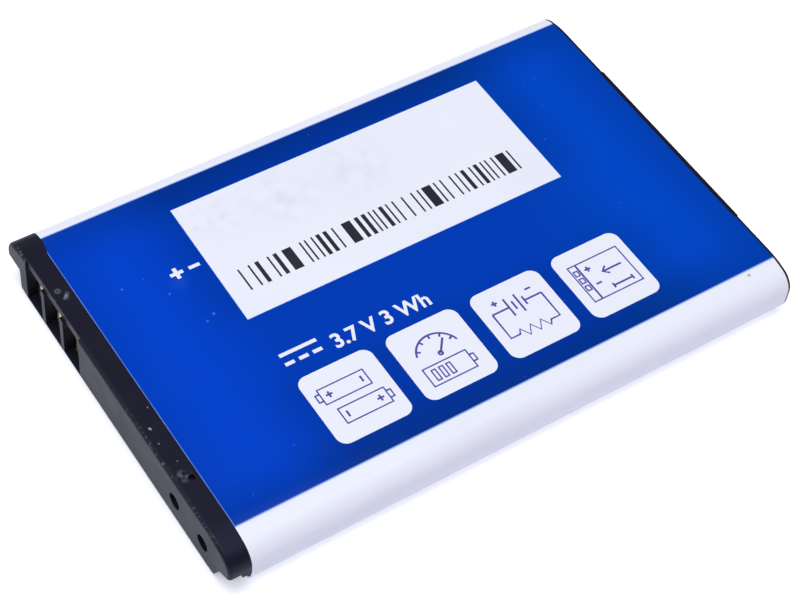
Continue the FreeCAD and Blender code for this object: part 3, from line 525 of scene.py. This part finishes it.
def makeGoldMaterial():
    look = goldLook
    material, tree, shader = newMaterial("goldPlate", Metallic=1.0)
    wiped = useGroup(tree, hairScratches, Scale=2500.0, Turn=(0, 0.2, 1.57), Amount=1.0)["Mask"]
    grain = useGroup(tree, fineGrain, Scale=3000.0, Height=0.006, Stretch=(1, 1, 0.1))
    dull = product(tree, cloudValue(tree, *look["dullPatches"]), look["dullShare"])
    colour = mixColour(tree, dull, look["gold"], look["dull"])
    colour = mixColour(tree, product(tree, wiped, look["wipedShare"]), colour, look["dull"])
    feedShader(tree, shader, Base_Color=colour, Normal=grain["Normal"],
               Roughness=spread(tree, grain["Value"], *look["gloss"]))
    return material


# Inner materials: a clean and a worn colour in patches, a grain that may run one way, and a range of gloss

innerLooks = {
    "boardLaminate": {"clean": (0.006, 0.035, 0.02, 1), "worn": (0.012, 0.07, 0.035, 1), "patches": 1200.0,
                      "grain": 2500.0, "height": 0.01, "stretch": (1, 1, 1), "gloss": (0.25, 0.4)},
    "chipResin": {"clean": (0.012, 0.012, 0.013, 1), "worn": (0.03, 0.03, 0.03, 1), "patches": 900.0,
                  "grain": 9000.0, "height": 0.006, "stretch": (1, 1, 1), "gloss": (0.45, 0.65)},
    "nickelStrip": {"clean": (0.60, 0.57, 0.52, 1), "worn": (0.44, 0.42, 0.39, 1), "patches": 500.0,
                    "grain": 2600.0, "height": 0.004, "stretch": (1, 0.05, 1), "gloss": (0.25, 0.42)},
    "fuseWrap": {"clean": (0.42, 0.30, 0.05, 1), "worn": (0.30, 0.21, 0.04, 1), "patches": 600.0,
                 "grain": 2000.0, "height": 0.01, "stretch": (1, 1, 0.2), "gloss": (0.35, 0.5)},
    "polyimideTape": {"clean": (0.60, 0.27, 0.03, 1), "worn": (0.48, 0.20, 0.02, 1), "patches": 300.0,
                      "grain": 900.0, "height": 0.01, "stretch": (1, 0.2, 1), "gloss": (0.15, 0.3)},
    "foamTape": {"clean": (0.72, 0.72, 0.70, 1), "worn": (0.58, 0.58, 0.57, 1), "patches": 500.0,
                 "grain": 6000.0, "height": 0.02, "stretch": (1, 1, 1), "gloss": (0.7, 0.9)},
    "fishPaper": {"clean": (0.42, 0.33, 0.20, 1), "worn": (0.33, 0.25, 0.14, 1), "patches": 400.0,
                  "grain": 3500.0, "height": 0.012, "stretch": (1, 0.3, 1), "gloss": (0.6, 0.8)},
    "drawnAluminium": {"clean": (0.70, 0.71, 0.73, 1), "worn": (0.56, 0.57, 0.59, 1), "patches": 120.0,
                       "grain": 2200.0, "height": 0.004, "stretch": (0.03, 1, 1), "gloss": (0.28, 0.42)},
    "bushPlastic": {"clean": (0.75, 0.75, 0.70, 1), "worn": (0.66, 0.65, 0.58, 1), "patches": 900.0,
                    "grain": 4000.0, "height": 0.006, "stretch": (1, 1, 1), "gloss": (0.35, 0.5)},
    "separatorSheet": {"clean": (0.80, 0.81, 0.83, 1), "worn": (0.70, 0.72, 0.76, 1), "patches": 300.0,
                       "grain": 1500.0, "height": 0.01, "stretch": (1, 0.2, 1), "gloss": (0.45, 0.6)},
}
innerMetals = ("nickelStrip", "drawnAluminium")
patchContrast = 1.5


def makeInnerMaterial(name, look):
    material, tree, shader = newMaterial(name, Metallic=1.0 if name in innerMetals else 0.0)
    grain = useGroup(tree, fineGrain, Scale=look["grain"], Height=look["height"], Stretch=look["stretch"])
    worn = product(tree, cloudValue(tree, look["patches"], patchContrast), grain["Value"])
    feedShader(tree, shader, Base_Color=mixColour(tree, worn, look["clean"], look["worn"]),
               Normal=grain["Normal"], Roughness=spread(tree, grain["Value"], *look["gloss"]))
    return material


ceramicLook = {
    "body": (0.30, 0.21, 0.13, 1),
    "speckle": (0.18, 0.12, 0.07, 1),
    "tin": (0.62, 0.62, 0.60, 1),
    "endHeight": 0.28,  # how far the tinned ends reach in
    "gloss": (0.3, 0.5),
}


def makeCeramicMaterial(name, node):
    look = ceramicLook
    low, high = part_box(node)
    material, tree, shader = newMaterial(name)
    axes = objectPlace(tree)[1]
    grain = useGroup(tree, fineGrain, Scale=6000.0, Height=0.005)
    body = mixColour(tree, grain["Value"], look["body"], look["speckle"])
    reach = look["endHeight"] * mm
    lowEnd = doMaths(tree, "LESS_THAN", axes["Z"], low.z + reach)
    highEnd = doMaths(tree, "GREATER_THAN", axes["Z"], high.z - reach)
    ends = total(tree, lowEnd, highEnd)
    feedShader(tree, shader, Base_Color=mixColour(tree, ends, body, look["tin"]), Metallic=ends,
               Normal=grain["Normal"], Roughness=spread(tree, grain["Value"], *look["gloss"]))
    return material


rollLook = {
    "foil": (0.10, 0.10, 0.11, 1),
    "separator": (0.55, 0.56, 0.58, 1),
    "separatorShade": (0.42, 0.43, 0.46, 1),
    "layerPitch": 0.24,
    "foilEdge": (0.3, 0.7),   # in half pitches
    "endFacing": (0.4, 0.6),  # the layers show only at the roll's ends
    "gloss": (0.45, 0.65),
}


def makeRollMaterial():
    look = rollLook
    material, tree, shader = newMaterial("woundElectrodes")
    axes = objectPlace(tree)[1]
    fromMiddle = doMaths(tree, "ABSOLUTE", difference(tree, axes["Z"], printFace / 2))
    halfPitch = look["layerPitch"] * mm / 2
    layer = doMaths(tree, "PINGPONG", fromMiddle, halfPitch)
    edge = rampBetween(tree, layer, *(halfPitch * share for share in look["foilEdge"]))
    grain = useGroup(tree, fineGrain, Scale=1500.0, Height=0.01, Stretch=(0.1, 1, 1))
    normal = addNode(tree, "NewGeometry").outputs["Normal"]
    facing = doMaths(tree, "ABSOLUTE", addNode(tree, "SeparateXYZ", {0: normal}).outputs["X"])
    layers = product(tree, edge, rampBetween(tree, facing, *look["endFacing"]))
    sheet = mixColour(tree, grain["Value"], look["separator"], look["separatorShade"])
    feedShader(tree, shader, Base_Color=mixColour(tree, layers, sheet, look["foil"]),
               Normal=grain["Normal"], Roughness=spread(tree, grain["Value"], *look["gloss"]))
    return material


def paint(piece, material):
    piece.data.materials.clear()
    piece.data.materials.append(material)


capPlastic = makeCapMaterial("mouldedCap", 0.0)
goldPlate = makeGoldMaterial()
innerMaterials = {name: makeInnerMaterial(name, look) for name, look in innerLooks.items()}
nodeFinishes = {
    "wrap_film": makeFilmMaterial(),
    "head_cap": capPlastic,
    "tail_cap": capPlastic,
    "contact_positive": goldPlate,
    "contact_data": goldPlate,
    "contact_negative": goldPlate,
    "circuit_board": innerMaterials["boardLaminate"],
    "protection_chip": innerMaterials["chipResin"],
    "switch_transistor": innerMaterials["chipResin"],
    "resistors": makeCeramicMaterial("resistorCeramic", "resistors"),
    "capacitors": makeCeramicMaterial("capacitorCeramic", "capacitors"),
    "thermistor": makeCeramicMaterial("thermistorCeramic", "thermistor"),
    "positive_lead": innerMaterials["nickelStrip"],
    "fuse_lead": innerMaterials["nickelStrip"],
    "negative_lead": innerMaterials["nickelStrip"],
    "positive_weld_plate": innerMaterials["nickelStrip"],
    "terminal_rivet": innerMaterials["nickelStrip"],
    "inner_terminal": innerMaterials["nickelStrip"],
    "negative_tab": innerMaterials["nickelStrip"],
    "thermal_fuse": innerMaterials["fuseWrap"],
    "lead_tape": innerMaterials["polyimideTape"],
    "tail_tape": innerMaterials["foamTape"],
    "lid_paper": innerMaterials["fishPaper"],
    "cell_can": innerMaterials["drawnAluminium"],
    "cell_lid": innerMaterials["drawnAluminium"],
    "fill_plug": innerMaterials["drawnAluminium"],
    "positive_tab": innerMaterials["drawnAluminium"],
    "lid_gasket": innerMaterials["bushPlastic"],
    "inner_insulator": innerMaterials["separatorSheet"],
    "roll_head_insulator": innerMaterials["separatorSheet"],
    "roll_tail_insulator": innerMaterials["separatorSheet"],
    "electrode_roll": makeRollMaterial(),
}
for node, material in nodeFinishes.items():
    paint(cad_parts[node], material)
print("finishes given to", len(nodeFinishes), "packed pieces")


# New pieces

def addObject(name, data):
    thing = bpy.data.objects.new(name, data)
    bpy.context.scene.collection.objects.link(thing)
    return thing


def takeMesh(name, bm):
    mesh = bpy.data.meshes.new(name)
    bm.to_mesh(mesh)
    bm.free()
    return mesh


def openMesh(mesh):
    bm = bmesh.new()
    bm.from_mesh(mesh)
    return bm


def finishPiece(name, bm, material, smooth=False):
    piece = addObject(name, takeMesh(name, bm))
    if smooth:
        piece.data.shade_smooth()
    else:
        piece.data.shade_flat()
    paint(piece, material)
    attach(piece, "root")
    return piece


labelShape = {
    "cellSize": 0.25,
    "lowest": 0.3,        # share of the label's thickness left in the deepest dip
    "ripple": 0.35,       # share of the depth that gentle ripples take
    "rippleSize": 5.5,
    "skew": 0.2,          # the far corner at the head is this short of square
    "creases": (          # along and across from the label's middle, length, width, turn in degrees, height
        (2.6, 4.6, 13.0, 0.8, 4.0, 0.9),
        (7.6, 3.2, 9.0, 1.0, 13.0, 0.8),
        (10.4, 4.9, 5.0, 0.7, -22.0, 0.7),
        (-6.0, 3.9, 7.0, 0.7, 6.0, 0.6),
        (-9.5, 1.6, 5.0, 0.6, -8.0, 0.5),
    ),
    "sharpAngle": 40,
}
labelMiddle = (labelLow + labelHigh) / 2


def labelSurface(x, y):  # height of the label's face at a point, in metres
    shape = labelShape
    along, across = (x - labelMiddle.x) / mm, (y - labelMiddle.y) / mm
    ripple = noise.noise(Vector((along / shape["rippleSize"], across / shape["rippleSize"], 3.1)))
    level = shape["ripple"] * (0.5 + ripple)
    for centreAlong, centreAcross, length, width, turn, height in shape["creases"]:
        backTurn = Matrix.Rotation(math.radians(-turn), 2)
        offset = backTurn @ Vector((along - centreAlong, across - centreAcross))
        window = max(0.0, 1 - (2 * offset.x / length) ** 2)
        level += height * (1 - shape["ripple"]) * window * math.exp(-(offset.y / width) ** 2)
    level = min(max(level, 0.0), 1.0)
    thickness = labelHigh.z - labelLow.z
    return labelLow.z + thickness * (shape["lowest"] + (1 - shape["lowest"]) * level)


def newLabelSheet():  # flat one-sided sheet with the label's outline, cut in small cells
    size = labelHigh - labelLow
    bm = bmesh.new()
    cell = labelShape["cellSize"] * mm
    bmesh.ops.create_grid(bm, x_segments=round(size.x / cell), y_segments=round(size.y / cell), size=0.5)
    bmesh.ops.scale(bm, vec=(size.x, size.y, 1), verts=bm.verts)
    bmesh.ops.translate(bm, vec=(labelMiddle.x, labelMiddle.y, 0), verts=bm.verts)
    for vert in bm.verts:
        share = (labelHigh.x - vert.co.x) / size.x * (vert.co.y - labelLow.y) / size.y
        vert.co.x += labelShape["skew"] * mm * share
    return bm


def makeLabel():
    bm = newLabelSheet()
    for vert in bm.verts:
        vert.co.z = labelSurface(vert.co.x, vert.co.y)
    skirt = bmesh.ops.extrude_edge_only(bm, edges=[edge for edge in bm.edges if edge.is_boundary])
    for item in skirt["geom"]:
        if isinstance(item, bmesh.types.BMVert):
            item.co.z = labelLow.z
    bmesh.ops.holes_fill(bm, edges=[edge for edge in bm.edges if edge.is_boundary])
    bmesh.ops.recalc_face_normals(bm, faces=bm.faces)
    piece = finishPiece("label_paper", bm, makeLabelMaterial(), smooth=True)
    piece.data.set_sharp_from_angle(angle=math.radians(labelShape["sharpAngle"]))
    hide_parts("label_sticker")


barShape = {
    "start": 1.7,         # from the label's head edge
    "end": 2.05,          # from its tail edge
    "low": 2.3,           # from its near edge
    "height": 2.2,
    "thin": 0.15,
    "widths": (1, 1, 1, 1, 2.3, 5.5),    # in thin bars
    "gaps": (2, 2.5, 3, 3, 5),
    "seed": 11,
    "ink": 0.004,
}


def drawBars():  # start and end of each bar along X, in metres
    shape = barShape
    draw = random.Random(shape["seed"])
    place = labelLow.x + shape["start"] * mm
    last = labelHigh.x - shape["end"] * mm
    bars = []
    while True:
        width = draw.choice(shape["widths"]) * shape["thin"] * mm
        if place + width > last:
            return bars
        bars.append((place, place + width))
        place += width + draw.choice(shape["gaps"]) * shape["thin"] * mm


def cutSheet(bm, place, normal, clear=False):
    bmesh.ops.bisect_plane(bm, geom=bm.verts[:] + bm.edges[:] + bm.faces[:], plane_co=place,
                           plane_no=normal, clear_inner=clear)


def makeBars():
    shape = barShape
    bars = drawBars()
    low = labelLow.y + shape["low"] * mm
    bm = newLabelSheet()
    cutSheet(bm, (0, low, 0), (0, 1, 0), clear=True)
    cutSheet(bm, (0, low + shape["height"] * mm, 0), (0, -1, 0), clear=True)
    for bar in bars:
        for edge in bar:
            cutSheet(bm, (edge, 0, 0), (1, 0, 0))
    bare = [face for face in bm.faces
            if not any(start < face.calc_center_median().x < end for start, end in bars)]
    bmesh.ops.delete(bm, geom=bare, context="FACES")
    for vert in bm.verts:
        vert.co.z = labelSurface(vert.co.x, vert.co.y) + shape["ink"] * mm
    bmesh.ops.recalc_face_normals(bm, faces=bm.faces)
    ink = makeInkMaterial("barInk", labelLook["ink"], labelLook["thinInk"])
    finishPiece("label_bars", bm, ink)
    print(len(bars), "bars on the label")


tileShape = {
    "width": 6.42,
    "depth": 6.71,
    "corner": 0.86,
    "cornerSegments": 10,
    "ink": 0.012,
    "firstPlace": (-10.53, -9.34),   # middle of the tile next to the head
    "pitch": 7.68,
    "white": (0.82, 0.82, 0.815, 1),
    "thinWhite": (0.80, 0.805, 0.81, 1),
    "edge": (0.42, 0.57, 0.92, 1),   # painted shade and reflection: a bluish strip along the tile's outline
    "thinEdgeShade": (0.34, 0.50, 0.90, 1),
    "shadedEdgeWidth": 0.07,
    "line": (0.04, 0.045, 0.26, 1),
    "thinLine": (0.075, 0.085, 0.36, 1),
    "lineWidth": 0.17,
    "symbolScale": 1.2,
    "lineHeight": 0.01,
}


def rectangle(left, low, right, high):
    return [(left, low), (right, low), (right, high), (left, high), (left, low)]


def arcPoints(x, y, radius, start, end, steps):
    turns = [math.radians(start + (end - start) * step / steps) for step in range(steps + 1)]
    return [(x + radius * math.cos(turn), y + radius * math.sin(turn)) for turn in turns]


def plusMark(x, y, reach):
    return [[(x - reach, y), (x + reach, y)], [(x, y - reach), (x, y + reach)]]


def cellPairSymbol():  # two round cells that lie head to tail
    strokes = []
    for turn in (1, -1):
        outline = [(-1.85, 0.3), (1.45, 0.3), (1.45, 1.5), (-1.85, 1.5), (-1.85, 0.3)]
        nub = [(-1.85, 0.62), (-2.15, 0.62), (-2.15, 1.18), (-1.85, 1.18)]
        marks = plusMark(-1.3, 0.9, 0.24) + [[(1.05, 0.66), (1.05, 1.14)]]
        for stroke in [outline, nub] + marks:
            strokes.append([(turn * x, turn * y) for x, y in stroke])
    return strokes


def gaugeSymbol():  # a cell with its level in bars, under a dial with a hand
    strokes = [rectangle(-1.75, -1.9, 1.45, -0.45)]
    strokes.append([(1.45, -1.45), (1.75, -1.45), (1.75, -0.9), (1.45, -0.9)])
    for x in (-1.3, -0.75, -0.2):
        strokes.append(rectangle(x, -1.6, x + 0.28, -0.75))
    strokes.append(arcPoints(0, 0.1, 1.55, 15, 165, 20))
    for degrees in (30, 60, 90, 120, 150):
        strokes.append([arcPoints(0, 0.1, radius, degrees, degrees, 1)[0] for radius in (1.25, 1.55)])
    strokes.append([(0, 0.1), (0.75, 1.05)])
    strokes.append(arcPoints(0, 0.1, 0.14, 0, 360, 10))
    return strokes


def circuitSymbol():  # battery of two cells feeding a resistor
    strokes = [[(-1.9, 0.9), (-0.6, 0.9)], [(0.6, 0.9), (1.9, 0.9)]]
    for x, reach in ((-0.6, 0.75), (-0.2, 0.35), (0.2, 0.75), (0.6, 0.35)):
        strokes.append([(x, 0.9 - reach), (x, 0.9 + reach)])
    zigzag = [(-1.9, 0.9), (-1.9, -1.2), (-1.2, -1.2)]
    zigzag += [(-1.0 + 0.4 * step, -1.2 + 0.35 * (-1) ** step) for step in range(6)]
    zigzag += [(1.2, -1.2), (1.9, -1.2), (1.9, 0.9)]
    return strokes + [zigzag] + plusMark(-1.3, 1.6, 0.22) + [[(1.08, 1.6), (1.52, 1.6)]]


def contactSymbol():  # plan of the pack with its contacts and the way it goes in
    strokes = [rectangle(-1.9, -1.5, 2.0, 1.6), [(-1.3, -1.5), (-1.3, 1.6)]]
    for y in (0.75, 0.1, -0.55):
        strokes.append(rectangle(-1.75, y, -1.45, y + 0.4))
    strokes += plusMark(-0.75, 0.95, 0.22) + [[(-0.97, -0.35), (-0.53, -0.35)]]
    strokes += [[(1.5, 0.3), (0.0, 0.3)], [(0.4, 0.62), (0.0, 0.3), (0.4, -0.02)]]
    strokes += [[(0.0, -1.0), (1.5, -1.0)], [(0.0, -0.8), (0.0, -1.2)], [(1.5, -0.8), (1.5, -1.2)]]
    return strokes


strokeStep = 0.0004  # each stroke lies a little higher than the last, so none share a face


def strokeMesh(name, strokes, width, height):  # flat ridges of ink along lines given in millimetres
    flatness = 2 * height / width
    curve = bpy.data.curves.new(name, "CURVE")
    curve.dimensions = "3D"
    curve.bevel_depth = width / 2 * mm
    curve.bevel_resolution = 1
    curve.use_fill_caps = True
    for order, stroke in enumerate(strokes):
        closed = len(stroke) > 2 and stroke[0] == stroke[-1]
        points = stroke[:-1] if closed else stroke
        spline = curve.splines.new("POLY")
        spline.points.add(len(points) - 1)
        for point, (x, y) in zip(spline.points, points):
            point.co = (x * mm, y * mm, order * strokeStep * mm / flatness, 1)
        spline.use_cyclic_u = closed
    holder = bpy.data.objects.new(name, curve)
    bm = openMesh(bpy.data.meshes.new_from_object(holder))
    bpy.data.objects.remove(holder)
    bmesh.ops.scale(bm, vec=(1, 1, flatness), verts=bm.verts)
    return bm


def tileMesh():  # rounded plate of ink with a strip of painted shade and reflection along the outline
    shape = tileShape
    bm = bmesh.new()
    bmesh.ops.create_grid(bm, x_segments=1, y_segments=1, size=0.5)
    bmesh.ops.scale(bm, vec=(shape["width"] * mm, shape["depth"] * mm, 1), verts=bm.verts)
    bmesh.ops.bevel(bm, geom=bm.verts[:], offset=shape["corner"] * mm, affect="VERTICES",
                    segments=shape["cornerSegments"], profile=0.5, material=-1)
    bmesh.ops.solidify(bm, geom=bm.faces[:], thickness=shape["ink"] * mm)
    bmesh.ops.recalc_face_normals(bm, faces=bm.faces)
    face = max(bm.faces, key=lambda item: item.calc_center_median().z)
    outline = bmesh.ops.inset_region(bm, faces=[face], thickness=shape["shadedEdgeWidth"] * mm,
                                     use_even_offset=True)
    for strip in outline["faces"]:
        strip.material_index = 1  # the edge's painted shade and reflection
    lift = shape["ink"] * mm - max(vert.co.z for vert in bm.verts)
    bmesh.ops.translate(bm, vec=(0, 0, lift), verts=bm.verts)
    return bm


def makeTiles():
    shape = tileShape
    white = makeInkMaterial("tileInk", shape["white"], shape["thinWhite"])
    # painted shade and reflection for the strip along each tile's outline
    edge = makeInkMaterial("tileEdgeShade", shape["edge"], shape["thinEdgeShade"])
    blue = makeInkMaterial("symbolInk", shape["line"], shape["thinLine"])
    symbols = {"cells": cellPairSymbol(), "gauge": gaugeSymbol(), "circuit": circuitSymbol(),
               "contacts": contactSymbol()}
    for order, (name, strokes) in enumerate(symbols.items()):
        x, y = shape["firstPlace"]
        middle = Vector(((x + order * shape["pitch"]) * mm, y * mm, printFace))
        bm = tileMesh()
        bmesh.ops.translate(bm, vec=middle, verts=bm.verts)
        finishPiece("print_tile_" + name, bm, white).data.materials.append(edge)
        larger = [[(x * shape["symbolScale"], y * shape["symbolScale"]) for x, y in stroke]
                  for stroke in strokes]
        bm = strokeMesh(name, larger, shape["lineWidth"], shape["lineHeight"])
        bmesh.ops.translate(bm, vec=middle + Vector((0, 0, shape["ink"] * mm)), verts=bm.verts)
        finishPiece("print_symbol_" + name, bm, blue)
    print(len(symbols), "printed tiles with their symbols")
    return white


markShape = {
    "lineWidth": 0.32,
    "lineHeight": 0.012,
    "polarityPlace": (-15.5, 7.1),
    "currentPlace": (-11.9, -3.95),
    "ratingText": "3.7 V 3 Wh",
    "ratingPlace": (-9.4, -5.0),
    "ratingHeight": 1.85,
    "ratingWeight": 0.045,
}


def makeMarks(white):
    shape = markShape
    x, y = shape["polarityPlace"]
    strokes = plusMark(x - 0.7, y, 0.55) + [[(x + 0.35, y), (x + 1.3, y)]]
    x, y = shape["currentPlace"]
    strokes.append([(x - 1.6, y + 0.45), (x + 1.6, y + 0.45)])
    for start in (-1.6, -0.4, 0.8):
        strokes.append([(x + start, y - 0.45), (x + start + 0.8, y - 0.45)])
    bm = strokeMesh("print_marks", strokes, shape["lineWidth"], shape["lineHeight"])
    bmesh.ops.translate(bm, vec=(0, 0, printFace), verts=bm.verts)
    finishPiece("print_marks", bm, white)

    font = bpy.data.curves.new("print_rating", "FONT")
    font.body = shape["ratingText"]
    font.size = shape["ratingHeight"] * mm
    font.offset = shape["ratingWeight"] * mm
    font.extrude = shape["lineHeight"] * mm / 2
    holder = addObject("print_rating", font)
    bpy.context.view_layer.update()
    drawn = holder.evaluated_get(bpy.context.evaluated_depsgraph_get())
    bm = openMesh(bpy.data.meshes.new_from_object(drawn))
    bpy.data.objects.remove(holder)
    x, y = shape["ratingPlace"]
    bmesh.ops.translate(bm, vec=(x * mm, y * mm, printFace), verts=bm.verts)
    finishPiece("print_rating", bm, white)


ringShape = {
    "place": (-24.775, 10.0),
    "radius": 0.185,
    "lineRadius": 0.05,
    "rise": 0.02,
    "segments": (40, 10),     # round the ring and round its line
    "joinDistance": 0.001,
    "wornShare": 0.2,
}


def makeRing():  # raised ring that an ejector pin leaves on the cap
    shape = ringShape
    aroundRing, aroundLine = shape["segments"]
    bm = bmesh.new()
    upright = Matrix.Translation((shape["radius"] * mm, 0, 0)) @ Matrix.Rotation(math.pi / 2, 4, "X")
    bmesh.ops.create_circle(bm, segments=aroundLine, radius=shape["lineRadius"] * mm, matrix=upright)
    bmesh.ops.spin(bm, geom=bm.verts[:] + bm.edges[:], cent=(0, 0, 0), axis=(0, 0, 1), angle=2 * math.pi,
                   steps=aroundRing, use_merge=True)
    bmesh.ops.remove_doubles(bm, verts=bm.verts, dist=shape["joinDistance"] * mm)
    bmesh.ops.recalc_face_normals(bm, faces=bm.faces)
    bmesh.ops.scale(bm, vec=(1, 1, shape["rise"] / shape["lineRadius"]), verts=bm.verts)
    x, y = shape["place"]
    bmesh.ops.translate(bm, vec=(x * mm, y * mm, capHigh.z), verts=bm.verts)
    plastic = makeCapMaterial("rubbedCap", shape["wornShare"])
    finishPiece("cap_pin_ring", bm, plastic, smooth=True)


makeLabel()
makeBars()
makeMarks(makeTiles())
makeRing()
print("new pieces made")


# Stage, light and camera

stageShape = {
    "floorRadius": 1.6,
    "floorGap": 0.02,         # so the floor shares no face with the pack's underside
    "floor": (0.88, 0.88, 0.88, 1),
    "shade": (0.85, 0.85, 0.86, 1),
    "glow": (0.96, 0.965, 1.0, 1),
    "glowStrength": 0.4,
    "floorBounced": (0.73, 0.72, 0.80, 1),   # what the floor sends back on the sides is weaker
    "glowBounced": (0.51, 0.51, 0.73, 1),
    "skySeen": (1.0, 1.0, 1.0, 1),
    "skyLight": (0.84, 0.87, 1.0, 1),
    "skyStrength": 0.25,
    "skyMirrored": 0.04,      # the room is dark where the gloss mirrors it
}
lamps = {  # azimuth and elevation seen from the pack, distance, size, power and colour
    "topSoftbox": (-35, 84, 0.50, 0.50, 2.4, (0.86, 0.88, 1.0)),
    "headSoftbox": (-80, 45, 0.45, 0.34, 0.22, (0.86, 0.88, 1.0)),
    "frontSoftbox": (-5, 40, 0.45, 0.30, 0.12, (0.86, 0.88, 1.0)),
    "backSoftbox": (-170, 30, 0.50, 0.34, 0.42, (0.86, 0.88, 1.0)),
}
cameraPlace = {
    "lens": 92.06,
    "aim": (-2.763, -3.499, 4.75),
    "distance": 155.755,
    "azimuth": -38.842,
    "elevation": 51.711,
    "roll": 7.21,
}


def directionTo(azimuth, elevation):
    turn, rise = math.radians(azimuth), math.radians(elevation)
    return Vector((math.sin(turn) * math.cos(rise), -math.cos(turn) * math.cos(rise), math.sin(rise)))


def makeStage():
    shape = stageShape
    bm = bmesh.new()
    bmesh.ops.create_circle(bm, cap_ends=True, segments=96, radius=shape["floorRadius"])
    floor = addObject("studioFloor", takeMesh("studioFloor", bm))
    floor.location.z = -shape["floorGap"] * mm
    material, tree, shader = newMaterial("palePaper", Roughness=0.85, Specular_IOR_Level=0.1)
    bounced = addNode(tree, "LightPath").outputs["Is Diffuse Ray"]
    paper = mixColour(tree, cloudValue(tree, 6.0, 1.0), shape["floor"], shape["shade"])
    feedShader(tree, shader, Base_Color=mixColour(tree, bounced, paper, shape["floorBounced"]),
               Emission_Color=mixColour(tree, bounced, shape["glow"], shape["glowBounced"]),
               Emission_Strength=shape["glowStrength"])
    paint(floor, material)


def makeSky():
    shape = stageShape
    world = bpy.data.worlds.new("studioSky")
    world.use_nodes = True
    tree = world.node_tree
    path = addNode(tree, "LightPath").outputs
    light = tree.nodes["Background"]
    setInputs(tree, light, {"Color": shape["skyLight"], "Strength": shape["skyStrength"]})
    mirrored = addNode(tree, "Background", {"Color": shape["skyLight"], "Strength": shape["skyMirrored"]})
    seen = addNode(tree, "Background", {"Color": shape["skySeen"], "Strength": 1.0})
    sky = light.outputs[0]
    for ray, other in (("Is Glossy Ray", mirrored), ("Is Camera Ray", seen)):
        sky = addNode(tree, "MixShader", {0: path[ray], 1: sky, 2: other.outputs[0]}).outputs[0]
    tree.links.new(sky, tree.nodes["World Output"].inputs["Surface"])
    bpy.context.scene.world = world


def makeLamps():
    for name, (azimuth, elevation, distance, size, power, colour) in lamps.items():
        light = bpy.data.lights.new(name, "AREA")
        light.shape = "DISK"
        light.size = size
        light.energy = power
        light.color = colour
        lamp = addObject(name, light)
        towards = directionTo(azimuth, elevation)
        lamp.location = towards * distance
        lamp.rotation_euler = towards.to_track_quat("Z", "Y").to_euler()


def makeCamera():
    place = cameraPlace
    lens = bpy.data.cameras.new("camera")
    lens.lens = place["lens"]
    lens.clip_start = 0.001
    camera = addObject("camera", lens)
    back = directionTo(place["azimuth"], place["elevation"])
    level = Vector((0, 0, 1)).cross(back).normalized()
    upright = back.cross(level)
    roll = math.radians(place["roll"])
    right = level * math.cos(roll) + upright * math.sin(roll)
    up = upright * math.cos(roll) - level * math.sin(roll)
    spot = Vector(place["aim"]) * mm + back * place["distance"] * mm
    turned = Matrix((right, up, back)).transposed().to_4x4()
    camera.matrix_world = Matrix.Translation(spot) @ turned
    bpy.context.scene.camera = camera


makeStage()
makeSky()
makeLamps()
makeCamera()
bpy.context.scene.view_settings.view_transform = "Standard"
print("stage, lamps and camera set")
